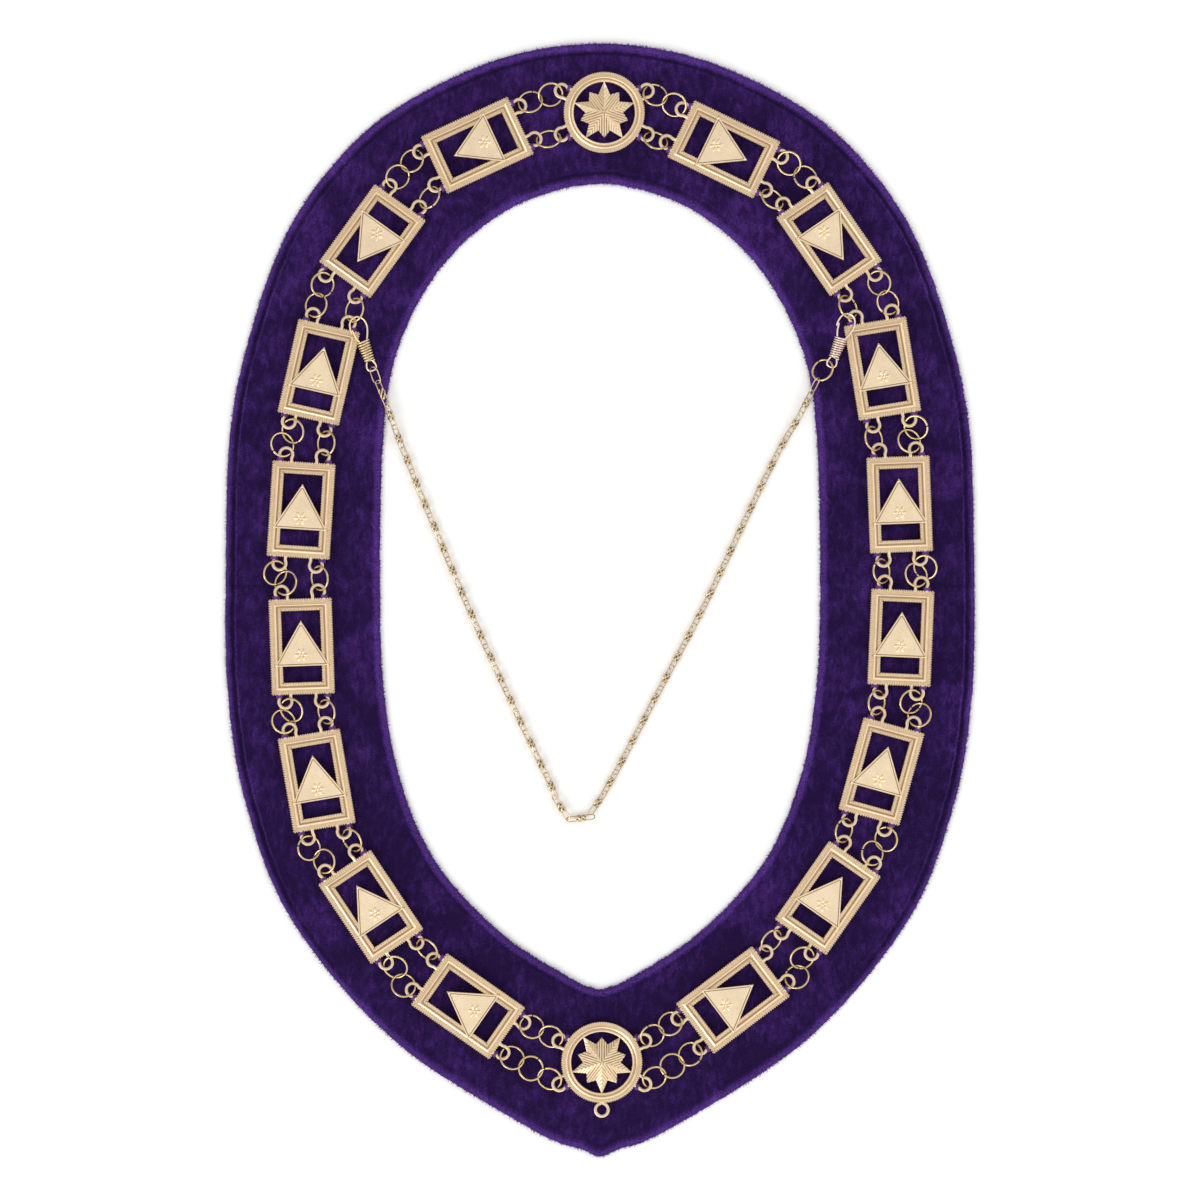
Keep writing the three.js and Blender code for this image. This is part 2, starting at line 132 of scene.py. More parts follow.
def bump(shade, height, depth, strength):
    sockets = {"Strength": strength, "Distance": depth * mm, "Height": height}
    return shade.make("ShaderNodeBump", None, sockets)


# velvet: dark where the pile stands, with painted sheen where it leans to the light and painted highlights
# along the hems, painted shade in the hem crease and the fold
velvetLook = {
    "deep": (0.0085, 0.0026, 0.026, 1),
    "mid": (0.027, 0.0073, 0.084, 1),
    "bright": (0.118, 0.041, 0.312, 1),
    "shadow": (0.006, 0.0025, 0.018, 1),
    "sockets": {"Roughness": 0.95, "Specular IOR Level": 0.08, "Sheen Weight": 0.22,
                "Sheen Roughness": 0.45, "Sheen Tint": (0.42, 0.26, 0.85, 1)},
    # noise: size in millimetres, detail and distortion
    "patch": (24, 3, 0.8),
    "streak": (2.8, 4, 0.6),
    "tuft": (0.85, 3),
    "fibre": (0.35, 2),
    "unsteady": (45, 2),
    "brushed": (1, 0.5, 1),
    # where noise begins to show and is full
    "lean": (0.4, 0.65),
    "speckle": (0.3, 0.68),
    "steady": (0.32, 0.55),
    # millimetres from the edge: painted highlight on the roll, painted shade in the crease, painted highlight
    # on the thin ridge, and how much wider at the ends
    "wider": 1.5,
    "roll": (0.9, 2.9),
    "creaseShade": (2.5, 3.3, 4.1, 4.7),
    "ridge": (4.55, 4.95, 5.2, 5.75),
    # metres from the middle, squared but for the last
    "ends": (0.03, 0.05),
    "outside": (0.0135, 0.018),
    "seamFades": (-0.2, -0.1),
    # shares of what makes up each tone
    "leanShares": (0.5, 0.5, 0.14),
    "groundShares": (0.47, 0.53),
    "paintedSheenShares": (0.72, 0.5, 0.46),
    "shadeShares": (0.7, 0.75),
    "napShares": (0.5, 0.9, 0.7),
    "relief": (0.8, 0.9),
    "seamLeast": 0.3,
    "paintedSheenLeast": 0.2,
    "endSheen": 0.05,
}


def velvetFinish():
    look = velvetLook
    material, shader, shade, place = newFinish("velvetPile")
    away = shade.mark("edgeAway")
    foldShade = shade.mark("foldShade")
    brushed = shade.make("ShaderNodeMapping", None, {"Vector": place, "Scale": look["brushed"]})
    patch = grain(shade, place, *look["patch"])
    streak = grain(shade, brushed, *look["streak"])
    tuft = grain(shade, place, *look["tuft"])
    fibre = grain(shade, place, *look["fibre"])
    aside, ahead = place.part(0), place.part(1)
    # the pile's lean: a random mottle that rises a little towards the back of the neck; it sets the ground
    # tone and the painted sheen
    lean = blend(look["leanShares"], patch, streak, ahead).between(*look["lean"])
    speckle = tuft.between(*look["speckle"])
    # the hem is wider round the neck, the back and the front; its seam shows outside and at the back
    ends = (ahead * ahead).between(*look["ends"])
    outside = (aside * aside).between(*look["outside"])
    away = away - shade.maths("MAXIMUM", ends, 1 - outside) * look["wider"]
    seam = shade.maths("MAXIMUM", ends, outside) * ahead.between(*look["seamFades"])
    steady = grain(shade, place, *look["unsteady"]).between(*look["steady"])
    steady = (steady * (1 - look["seamLeast"]) + look["seamLeast"]) * seam
    # painted highlight on the hem roll and the thin ridge, painted shade in the crease between them
    roll = (1 - away.between(*look["roll"])) * (1 + ends * look["endSheen"])
    creaseShade = away.stripe(*look["creaseShade"]) * steady
    ridge = away.stripe(*look["ridge"]) * steady * (1 - ends)
    ground = mixColour(shade, blend(look["groundShares"], lean, speckle), look["deep"], look["mid"])
    # painted sheen: the roll, the ridge and the leaning pile lift the colour towards bright
    paintedSheen = blend(look["paintedSheenShares"], roll, ridge, lean ** 2)
    paintedSheen = paintedSheen * (speckle * (1 - look["paintedSheenLeast"]) + look["paintedSheenLeast"])
    lit = mixColour(shade, paintedSheen, ground, look["bright"])
    # painted shade in the hem crease and along the fold
    dark = blend(look["shadeShares"], creaseShade, foldShade).between(0, 1)
    colour = mixColour(shade, dark, lit, look["shadow"])
    relief = bump(shade, blend(look["napShares"], fibre, tuft, streak), *look["relief"])
    shade.fill(shader, {**look["sockets"], "Base Color": colour, "Normal": relief})
    return material


threadLook = {
    "dark": (0.060, 0.012, 0.110, 1),
    "light": (0.170, 0.045, 0.300, 1),
    "strand": (0.5, 2),
    "relief": (0.15, 0.6),
    "roughness": 0.75,
}


def threadFinish():
    material, shader, shade, place = newFinish("tackThread")
    strand = grain(shade, place, *threadLook["strand"])
    colour = mixColour(shade, strand, threadLook["dark"], threadLook["light"])
    relief = bump(shade, strand, *threadLook["relief"])
    shade.fill(shader, {"Base Color": colour, "Roughness": threadLook["roughness"], "Normal": relief})
    return material


# gilding: satin castings darken in their grooves with patina and painted shade, drawn wire is smoother and
# yellower
drawnWire = {"pit": 0.8, "stipple": 0.1, "depth": 0.02}
gilding = {
    "castPlate": {
        "bright": (0.94, 0.77, 0.54, 1), "worn": (0.83, 0.65, 0.45, 1), "patinaAndShade": (0.28, 0.155, 0.065, 1),
        "satin": 0.38, "polish": 0.27, "pit": 0.6, "stipple": 0.55, "depth": 0.11,
    },
    "ringWire": {
        "bright": (0.70, 0.53, 0.29, 1), "worn": (0.52, 0.36, 0.17, 1), "patinaAndShade": (0.40, 0.25, 0.09, 1),
        "satin": 0.26, "polish": 0.16, **drawnWire,
    },
    "clipPink": {
        "bright": (0.97, 0.82, 0.71, 1), "worn": (0.86, 0.67, 0.56, 1), "patinaAndShade": (0.34, 0.20, 0.13, 1),
        "satin": 0.28, "polish": 0.18, **drawnWire,
    },
    "clipYellow": {
        "bright": (0.93, 0.76, 0.46, 1), "worn": (0.78, 0.58, 0.31, 1), "patinaAndShade": (0.34, 0.20, 0.08, 1),
        "satin": 0.28, "polish": 0.18, **drawnWire,
    },
    "chainWire": {
        "bright": (0.73, 0.58, 0.36, 1), "worn": (0.55, 0.40, 0.22, 1), "patinaAndShade": (0.17, 0.10, 0.04, 1),
        "satin": 0.27, "polish": 0.16, **drawnWire,
    },
}
wearLook = {
    "spots": (9, 4, 0.4),
    "shows": (0.35, 0.7),
    "dulls": 0.45,
    "pitShows": (0.35, 0.6),
    "grooveRough": 0.15,
    "relief": 0.7,
}


def giltFinish(name):
    look = gilding[name]
    material, shader, shade, place = newFinish(name)
    # the mark is 1 on bare metal; lower values bring patina and painted shade into grooves and between parts,
    # and painted light onto the star
    raisedAndLit = shade.mark("raisedAndLit")
    wear = grain(shade, place, *wearLook["spots"]).between(*wearLook["shows"])
    pit = grain(shade, place, look["pit"], 2)
    dull = wear * wearLook["dulls"] + (1 - pit.between(*wearLook["pitShows"])) * look["stipple"]
    metal = mixColour(shade, dull.between(0, 1), look["bright"], look["worn"])
    colour = mixColour(shade, raisedAndLit, look["patinaAndShade"], metal)
    rough = look["satin"] - wear * (look["satin"] - look["polish"]) + (1 - raisedAndLit) * wearLook["grooveRough"]
    relief = bump(shade, pit, look["depth"], wearLook["relief"])
    shade.fill(shader, {"Base Color": colour, "Roughness": rough, "Normal": relief, "Metallic": 1.0})
    return material


finishes = {name: giltFinish(name) for name in gilding}
finishes["velvet"] = velvetFinish()
finishes["thread"] = threadFinish()
print("finishes made:", len(finishes))


# modelling helpers, each acting on the active object alone
def deselectAll():
    if bpy.context.object and bpy.context.object.mode != "OBJECT":
        bpy.ops.object.mode_set(mode="OBJECT")
    bpy.ops.object.select_all(action="DESELECT")


def makeActive(piece):
    deselectAll()
    piece.select_set(True)
    bpy.context.view_layer.objects.active = piece


def shaped(size=(1, 1, 1), at=(0, 0, 0), turn=0):
    # the active object with its size, its place and its turn about X applied
    piece = bpy.context.object
    piece.scale = size
    piece.location = at
    piece.rotation_euler = (math.radians(turn), 0, 0)
    bpy.ops.object.transform_apply(location=True, rotation=True, scale=True)
    return piece


def editAll(kind):
    bpy.ops.object.mode_set(mode="EDIT")
    bpy.ops.mesh.select_mode(type=kind)
    bpy.ops.mesh.select_all(action="SELECT")


def pickFaces(piece, test):
    # leaves edit mode with only the faces selected whose middle and normal pass the test
    bpy.ops.object.mode_set(mode="OBJECT")
    mesh = piece.data
    mesh.vertices.foreach_set("select", [False] * len(mesh.vertices))
    mesh.edges.foreach_set("select", [False] * len(mesh.edges))
    mesh.polygons.foreach_set("select", [bool(test(f.center, f.normal)) for f in mesh.polygons])
    bpy.ops.object.mode_set(mode="EDIT")
    bpy.ops.mesh.select_mode(type="FACE")


def raiseFace(height, steps):
    # extrudes the active object's one face, then insets it step by step
    editAll("FACE")
    bpy.ops.mesh.extrude_region_move(TRANSFORM_OT_translate={"value": (0, 0, height * mm)})
    for thickness, depth in steps:
        bpy.ops.mesh.inset(thickness=thickness * mm, depth=depth * mm)


def closeModel(piece):
    # back to object mode with doubles merged and faces pointing out
    editAll("VERT")
    bpy.ops.mesh.remove_doubles(threshold=0.002 * mm)
    bpy.ops.mesh.normals_make_consistent(inside=False)
    bpy.ops.object.mode_set(mode="OBJECT")
    return piece


def meshPiece(name, points, faces):
    mesh = bpy.data.meshes.new(name)
    mesh.from_pydata(points, [], faces)
    mesh.update()
    piece = bpy.data.objects.new(name, mesh)
    bpy.context.scene.collection.objects.link(piece)
    return piece


def setMark(piece, name, values):
    mark = piece.data.attributes.get(name) or piece.data.attributes.new(name, "FLOAT", "POINT")
    mark.data.foreach_set("value", values)
    return piece


def markRaised(piece, low, high):
    # patina and painted shade: 0 in the grooves below low, 1 on the metal above high, in millimetres of the
    # template's own height
    heights = [vertex.co.z / mm for vertex in piece.data.vertices]
    return setMark(piece, "raisedAndLit", [min(1, max(0, (z - low) / (high - low))) for z in heights])


def markMilled(piece, inset, bands):
    # patina and painted shade: darkens the ground between the ridges of milled bands, told by how far in from
    # the edge it lies
    for vertex, mark in zip(piece.data.vertices, piece.data.attributes["raisedAndLit"].data):
        if any(low < inset(vertex.co / mm) < high for low, high in bands):
            mark.value = plate["milledTone"]
    return piece


def meshArrays(template):
    mesh = template.data
    flat = np.empty(len(mesh.vertices) * 3)
    mesh.vertices.foreach_get("co", flat)
    raisedAndLit = np.ones(len(mesh.vertices))
    if "raisedAndLit" in mesh.attributes:
        mesh.attributes["raisedAndLit"].data.foreach_get("value", raisedAndLit)
    return flat.reshape(-1, 3), [tuple(face.vertices) for face in mesh.polygons], raisedAndLit.tolist()


def stamp(name, rows):
    # one joined mesh of modelled templates, each row a template and the places of its copies
    points = []
    faces = []
    marks = []
    for template, places in rows:
        corners, loops, raisedAndLit = meshArrays(template)
        for place in places:
            turned = np.array(place)
            start = len(points)
            points.extend((corners @ turned[:3, :3].T + turned[:3, 3]).tolist())
            faces.extend(tuple(start + corner for corner in loop) for loop in loops)
            marks.extend(raisedAndLit)
    return setMark(meshPiece(name, points, faces), "raisedAndLit", marks)


def dropTemplates(*templates):
    for template in templates:
        bpy.data.objects.remove(template)


def joinParts(name, parts, rows=()):
    # one template of parts where they lie and of rows as for stamp, all of which are then dropped
    whole = [(part, [Matrix()]) for part in parts] + list(rows)
    model = stamp(name, whole)
    dropTemplates(*(template for template, places in whole))
    return model


def net(rows, columns, closed):
    # the corners of each face between rows of points that run round, two on a row and two on the next
    faces = []
    for row in range(rows if closed else rows - 1):
        near, far = row * columns, (row + 1) % rows * columns
        for column in range(columns):
            turn = (column + 1) % columns
            faces.append((near + column, near + turn, far + turn, far + column))
    return faces


def wire(name, path, radius, sides=8, closed=False):
    # a round wire swept along a path of points, its ends capped, all in millimetres
    line = [Vector(point) for point in path]
    count = len(line)
    points = []
    side = None
    for index, point in enumerate(line):
        before = line[index - 1] if index or closed else point
        after = line[(index + 1) % count] if index + 1 < count or closed else point
        along = (after - before).normalized()
        if side is None:
            side = along.orthogonal().normalized()
        side = (side - along * side.dot(along)).normalized()
        up = along.cross(side)
        for step in range(sides):
            angle = math.tau * step / sides
            points.append((point + radius * (math.cos(angle) * side + math.sin(angle) * up)) * mm)
    faces = net(count, sides, closed)
    if not closed:
        faces.append(tuple(reversed(range(sides))))
        faces.append(tuple(range((count - 1) * sides, count * sides)))
    return meshPiece(name, points, faces)


def smoothLine(points, perSpan, closed=False):
    # Catmull-Rom through the points, perSpan steps between each two
    line = [Vector(point) for point in points]
    if closed:
        line = [line[-1], *line, *line[:2]]
    else:
        line = [2 * line[0] - line[1], *line, 2 * line[-1] - line[-2]]
    made = []
    for a, b, c, d in zip(line, line[1:], line[2:], line[3:]):
        for step in range(perSpan):
            t = step / perSpan
            pull = (c - a) * t + (2 * a - 5 * b + 4 * c - d) * t ** 2 + (3 * b - 3 * c + d - a) * t ** 3
            made.append(b + pull / 2)
    if not closed:
        made.append(line[-2])
    return made


# a slot name listed with each finish, and the angle in degrees up to which its faces are smoothed
coats = {
    "castPlate": ("gilt_plate", 30),
    "ringWire": ("gilt_ring", 50),
    "clipPink": ("clip_wire", 50),
    "clipYellow": ("clip_wire", 50),
    "chainWire": ("chain_wire", 60),
    "velvet": ("velvet", 60),
    "thread": ("velvet", 60),
}


def finishPiece(piece, finish, *replaced):
    slot, angle = coats[finish]
    makeActive(piece)
    bpy.ops.object.shade_smooth_by_angle(angle=math.radians(angle))
    piece.data.materials.clear()
    piece.data.materials.append(finishes[finish])
    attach(piece, "root")
    if replaced:
        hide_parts(*replaced)
    return piece


def placed(x, y, z, turn=0.0):
    # millimetres and radians
    return Matrix.Translation(Vector((x, y, z)) * mm) @ Matrix.Rotation(turn, 4, "Z")


def spun(degrees, axis="Z"):
    return Matrix.Rotation(math.radians(degrees), 4, axis)


# velvet band: half outlines from the back of the neck to the front point, in millimetres
velvet = {
    "inner": [(0, 208), (34.5, 200.5), (60, 185.5), (79.5, 166), (95, 140.5), (105, 110.5), (109, 70),
              (110, 10), (108.5, -40), (101, -86), (83, -129.5), (50, -166), (14, -189.5), (4, -193.8),
              (0, -194.5)],
    "outer": [(0, 278), (51, 270), (102, 245.5), (135, 215.5), (159, 178), (176.8, 125.5), (185, 80),
              (187, 10), (186, -45), (177.5, -99.5), (154.2, -159.5), (103.5, -219.5), (35.2, -264),
              (9, -274.6), (0, -278)],
    "perSpan": 60,
    "field": 2.55,
    "hemRise": [(0, 1.25), (0.35, 1.95), (0.9, 2.45), (1.6, 2.72), (2.3, 2.7), (2.9, 2.45), (3.4, 2.15),
                (4, 2.08), (4.5, 2.3), (4.95, 2.58), (5.4, 2.5), (6, 2.4), (7.5, 2.5)],
    "underside": [(0.25, 0.55), (0.9, 0.08), (2.2, 0)],
    "fieldColumns": 16,
    # how far in the hem's shape gives way to the free cloth's, and the edge distance given to the underside,
    # which sets its share of the hem's painted highlight
    "easing": 6,
    "underAway": 2.0,
    # the fold across both sides: place, width, depth, how it strays, and where along it the pile
    # is crushed most, the fold deepest and its painted shade darkest, over what length and how much elsewhere
    "foldAt": 8.0,
    "foldWide": 0.9,
    "foldSink": 0.5,
    "foldStray": (0.035, 150, 0.8, 6),
    "crushed": (174, 6.5, 0.22),
    # waves of the cloth: size, seed and share of each
    "wave": 0.22,
    "waves": [(33, 4.0, 1), (9, 9.0, 0.5)],
    # the sewn edge: its drift with size and share of each wave, and its puckers with depth,
    # pitch, mean and how they come and go
    "waver": 0.35,
    "drifts": [(7, 1), (2.3, 0.6)],
    "scallop": (0.45, 3.1, 0.6),
    "steady": (0.5, 1.5, 40),
    "innerPace": 0.7,
    # tufts: how far in they root, their level, length, lean aside, rise and thickness
    "tuftsPerMm": 6,
    "tuftRoot": (0.1, 1.5),
    "tuftLevel": (0.7, 2.3),
    "tuftLength": (0.4, 1.7),
    "tuftAside": 0.5,
    "tuftRise": (-0.3, 0.7),
    "tuftThick": (0.14, 0.26),
    # the edge distance given to the tufts, which gives them the hem's painted highlight
    "tuftAway": 0.6,
}


def bandOutline(edge):
    half = velvet[edge]
    loop = half + [(-x, y) for x, y in reversed(half[1:-1])]
    return smoothLine([(x, y, 0) for x, y in loop], velvet["perSpan"], closed=True)


def foldAcross(point):
    # the fold from storing the collar folded in two; its depth also sets the fold's painted shade
    worst, spread, least = velvet["crushed"]
    slant, middle, stray, size = velvet["foldStray"]
    crushed = least + (1 - least) * math.exp(-((abs(point.x) - worst) / spread) ** 2)
    off = slant * (abs(point.x) - middle) + stray * noise.noise(point / size)
    return crushed * math.exp(-((point.y - velvet["foldAt"] + off) / velvet["foldWide"]) ** 2)


def clothHeight(point, rise, fieldness):
    sway = sum(share * noise.noise(Vector((point.x / size, point.y / size, seed)))
               for size, seed, share in velvet["waves"])
    return rise + (velvet["wave"] * sway - velvet["foldSink"] * foldAcross(point)) * fieldness


def velvetSection(inner, outer):
    # across the band from the inner edge over the top to the outer edge, and back underneath
    across = outer - inner
    width = across.length
    across.normalize()
    start = velvet["hemRise"][-1][0]
    step = (width - 2 * start) / velvet["fieldColumns"]
    hem = [(inset, rise, min(1, inset / velvet["easing"])) for inset, rise in velvet["hemRise"]]
    field = [(start + step * column, velvet["field"], 1) for column in range(1, velvet["fieldColumns"])]
    rows = hem + field + [(width - inset, rise, fieldness) for inset, rise, fieldness in reversed(hem)]
    section = []
    for inset, rise, fieldness in rows:
        point = inner + across * inset
        point.z = clothHeight(point, rise, fieldness)
        section.append((point, min(inset, width - inset), foldAcross(point)))
    under = [(width - inset, rise) for inset, rise in velvet["underside"]]
    under += [(inset, rise) for inset, rise in reversed(velvet["underside"])]
    for inset, rise in under:
        point = inner + across * inset
        point.z = rise
        section.append((point, velvet["underAway"], 0.0))
    return section


def edgeWaver(point, along):
    # how far the sewn edge strays: slow drift, and puckers between the hem's stitches
    depth, pitch, mean = velvet["scallop"]
    base, swing, size = velvet["steady"]
    pucker = (abs(math.sin(math.pi * along / pitch)) - mean) * max(0, base + swing * noise.noise(point / size))
    drift = sum(share * noise.noise(point / size) for size, share in velvet["drifts"])
    return velvet["waver"] * drift + depth * pucker


def velvetBand():
    sections = []
    walked = 0
    before = None
    for inner, outer in zip(bandOutline("inner"), bandOutline("outer")):
        across = (outer - inner).normalized()
        walked += (outer - before).length if before else 0
        before = outer
        inner = inner - across * edgeWaver(inner, walked * velvet["innerPace"])
        outer = outer + across * edgeWaver(outer, walked)
        sections.append(velvetSection(inner, outer))
    faces = [(a, d, c, b) for a, b, c, d in net(len(sections), len(sections[0]), True)]
    spots = [spot for section in sections for spot in section]
    piece = meshPiece("velvet_band", [point * mm for point, away, foldShade in spots], faces)
    makeActive(piece)
    closeModel(piece)
    # edge distances that place the hem's painted highlight and crease shade, and the fold mark for the fold's
    # painted shade
    setMark(piece, "edgeAway", [away for point, away, foldShade in spots])
    setMark(piece, "foldShade", [foldShade for point, away, foldShade in spots])
    return finishPiece(piece, "velvet", "velvet_collar")


def spike(root, lean, thickness):
    # a three-sided tuft of pile
    side = lean.orthogonal().normalized() * thickness
    other = lean.normalized().cross(side)
    corners = [root + side, root - side / 2 + other * 0.87, root - side / 2 - other * 0.87, root + lean]
    return corners, [(0, 1, 3), (1, 2, 3), (2, 0, 3), (2, 1, 0)]


def velvetTufts():
    # the cut pile that stands out all along both edges
    points = []
    faces = []
    for edge, facing in (("inner", "outer"), ("outer", "inner")):
        loop = bandOutline(edge)
        other = bandOutline(facing)
        for index, point in enumerate(loop):
            after = loop[(index + 1) % len(loop)]
            across = (point - other[index]).normalized()
            for tuft in range(round((after - point).length * velvet["tuftsPerMm"])):
                root = point.lerp(after, pile.random()) - across * pile.uniform(*velvet["tuftRoot"])
                root.z = pile.uniform(*velvet["tuftLevel"])
                lean = across * pile.uniform(*velvet["tuftLength"])
                lean += (after - point).normalized() * pile.gauss(0, velvet["tuftAside"])
                lean.z = pile.uniform(*velvet["tuftRise"])
                corners, sides = spike(root, lean, pile.uniform(*velvet["tuftThick"]))
                faces.extend(tuple(len(points) + corner for corner in side) for side in sides)
                points.extend(corner * mm for corner in corners)
    piece = meshPiece("velvet_tufts", points, faces)
    # the tufts take the hem's painted highlight
    setMark(piece, "edgeAway", [velvet["tuftAway"]] * len(points))
    return finishPiece(piece, "velvet")


band = velvetBand()
tufts = velvetTufts()
print("velvet band and tufts:", len(band.data.polygons), len(tufts.data.polygons), "faces")


# main chain: how each plate's apex is turned from +Y, in order clockwise from the top medallion
chain = {
    "right": [-115.8, -145.5, 9.2, 2.2, -2.4, -15.4, -34.8, -52.9],
    "left": [55.1, 33.7, 9.6, 2, -3.6, -12.8, 144.3, 114.8],
    "clothTop": 2.3,
    "metalBottom": 3.0,
    "eyeletStand": 3.5,
    "eyeletMid": 2.7,
    "eyeletSpread": 9.1,
    "medallionEyelets": [27, 153, 207, -27],
    "neck": (0, 10),
}
eyeletLevel = chain["metalBottom"] + chain["eyeletMid"]

plate = {
    "width": 31.2,
    "length": 47.5,
    "foot": 2.3,
    # inset and rise of each step of the moulding, from the outer edge to the window
    "moulding": [(0.2, 0.3), (1.6, 0), (0.15, -0.2), (0.3, 0), (0.2, 0.65), (0.45, 0.2), (0.45, -0.1),
                 (0.25, -0.5), (0.2, -0.5), (0.35, 0), (0.2, 0.4), (0.2, 0.05), (1.1, 0), (0.25, -0.3),
                 (0.1, -2.3)],
    # the heights between which grooves go from patina and painted shade to bare metal
    "grooves": (1.9, 2.45),
    # milling of the outer and inner bands: inset, pitch, then the size of one ridge
    "outerMilling": (0.72, 1.2, (0.86, 2.05, 0.8)),
    "innerMilling": (5.24, 1.3, (0.9, 1.42, 0.8)),
    "millingAt": 2.84,
    "milled": [(0.1, 1.85), (4.5, 5.7)],
    # the tone of the patina and painted shade between the milled ridges
    "milledTone": 0.92,
    # how a ridge narrows to its top, and where its foot is dark with patina and painted shade and its top
    # bright, as shares of its height
    "ridgeTop": (0.4, 0.88, 1),
    "ridgeMarks": (-1.1, 0.35),
    "apexAt": 13.0,
    "baseAt": -9.8,
    "baseHalf": 13.7,
    "triangleBottom": 1.2,
    "triangleTop": 3.75,
    # inset and rise of each step from the triangle's edge over its rim to the field
    "rim": [(0.12, 0.2), (0.62, 0), (0.12, -0.42), (0.18, 0), (0.12, 0.27)],
    # the heights between which the triangle's grooves go from patina and painted shade to bare metal
    "triangleGrooves": (3.45, 3.8),
    "bosses": [(12.7, -9.15), (-12.7, -9.15), (0, 11.5)],
    "boss": (0.7, 0.7, 0.55),
    "rosetteAt": -4.2,
    "petals": 6,
    "petalOut": 2.1,
    "petal": (1.5, 0.85, 0.5),
    "heart": (0.85, 0.85, 0.6),
}

# eyelets: how far past a half circle each bar is bent, in degrees, and where its legs end
eyelet = {
    "radius": 3.2,
    "bar": 0.84,
    "flat": 0.74,
    "steps": 26,
    "sides": 10,
    # the tone of the painted shade round the hole
    "inside": 0.58,
    "chain": (30, (2.7, -4.0)),
    "pendant": (80, (0.6, -4.2)),
}


def frameModel():
    halfWide, halfLong = plate["width"] / 2, plate["length"] / 2
    deselectAll()
    bpy.ops.mesh.primitive_plane_add(size=1)
    piece = shaped((plate["width"] * mm, plate["length"] * mm, 1))
    raiseFace(plate["foot"], plate["moulding"])
    bpy.ops.mesh.delete(type="FACE")  # the window
    pickFaces(piece, lambda middle, normal: abs(normal.z) > 0.9 and middle.z < 0.1 * mm)
    bpy.ops.mesh.delete(type="FACE")  # the plate's closed back
    bpy.ops.mesh.select_mode(type="EDGE")
    bpy.ops.mesh.select_non_manifold()
    bpy.ops.mesh.bridge_edge_loops()  # the frame's underside
    markRaised(closeModel(piece), *plate["grooves"])
    return markMilled(piece, lambda at: min(halfWide - abs(at.x), halfLong - abs(at.y)), plate["milled"])


def triangleModel():
    # a circle of three corners is 1.5 radii high
    rise = plate["apexAt"] - plate["baseAt"]
    deselectAll()
    bpy.ops.mesh.primitive_circle_add(vertices=3, radius=1, fill_type="NGON")
    size = (plate["baseHalf"] * mm / math.sin(math.radians(60)), rise * mm / 1.5, 1)
    piece = shaped(size, (0, (plate["apexAt"] - rise / 1.5) * mm, plate["triangleBottom"] * mm))
    raiseFace(plate["triangleTop"] - plate["triangleBottom"], plate["rim"])
    return markRaised(closeModel(piece), *plate["triangleGrooves"])


def ridgeModel(size):
    deselectAll()
    bpy.ops.mesh.primitive_cube_add(size=1)
    piece = shaped([side * mm for side in size])
    pickFaces(piece, lambda middle, normal: normal.z > 0.9)
    bpy.ops.transform.resize(value=plate["ridgeTop"])
    return markRaised(closeModel(piece), *(share * size[2] for share in plate["ridgeMarks"]))


def petalModel(size):
    deselectAll()
    bpy.ops.mesh.primitive_ico_sphere_add(subdivisions=2, radius=1)
    return shaped([side * mm for side in size])


def eyeletModel(kind):
    # a flattened bar bent to a horseshoe, both legs running into the edge that it stands on
    radius, steps, inside = eyelet["radius"], eyelet["steps"], eyelet["inside"]
    closing, (x, y) = eyelet[kind]
    sweep = 180 + 2 * closing
    turns = [math.radians(90 + sweep * (0.5 - step / steps)) for step in range(steps + 1)]
    path = [(radius * math.cos(turn), radius * math.sin(turn), 0) for turn in turns]
    piece = wire("eyelet", [(-x, y, 0), *path, (x, y, 0)], eyelet["bar"], eyelet["sides"])
    makeActive(piece)
    shaped((1, 1, eyelet["flat"]))
    # painted shade: darker round the hole
    out = [(v.co.xy.length / mm - radius) / eyelet["bar"] for v in piece.data.vertices]
    return setMark(piece, "raisedAndLit", [min(1, inside + (1 - inside) * (share + 1) / 2) for share in out])


def plateEyelets():
    reach = plate["length"] / 2 + chain["eyeletStand"]
    return [(right * chain["eyeletSpread"], up * reach) for up in (1, -1) for right in (-1, 1)]


def rectangleRidges(inset, pitch):
    # milling along a rectangle that lies inset from the plate's edge
    places = []
    halfWide = plate["width"] / 2 - inset
    halfLong = plate["length"] / 2 - inset
    for half, away, turned in ((halfWide, halfLong, 0), (halfLong, halfWide, 90)):
        count = round(2 * half / pitch)
        for side in (1, -1):
            for index in range(count + 1):
                along = -half + 2 * half * index / count
                spot = placed(along, side * away, plate["millingAt"])
                places.append(spun(turned) @ spot)
    return places


def plateModel():
    parts = [frameModel(), triangleModel()]
    rows = []
    for inset, pitch, size in (plate["outerMilling"], plate["innerMilling"]):
        rows.append((ridgeModel(size), rectangleRidges(inset, pitch)))
    loops = [placed(x, y, chain["eyeletMid"], 0 if y > 0 else math.pi) for x, y in plateEyelets()]
    rows.append((eyeletModel("chain"), loops))
    middle = placed(0, plate["rosetteAt"], plate["triangleTop"])
    petals = [middle @ spun(360 * step / plate["petals"]) @ placed(plate["petalOut"], 0, 0)
              for step in range(plate["petals"])]
    rows.append((petalModel(plate["petal"]), petals))
    rows.append((petalModel(plate["heart"]), [middle]))
    corners = [placed(x, y, plate["triangleTop"]) for x, y in plate["bosses"]]
    rows.append((petalModel(plate["boss"]), corners))
    return joinParts("plateModel", parts, rows)


def plateSpots():
    # each plate's node, middle and turn, the middle from the node's own box
    spots = []
    for side in ("right", "left"):
        turns = chain[side]
        for index, turn in enumerate(turns):
            number = index + 1 if side == "right" else len(turns) - index
            node = f"plate_{side}_{number}"
            low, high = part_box(node)
            spots.append((node, (low + high) / 2 / mm, math.radians(turn)))
    return spots


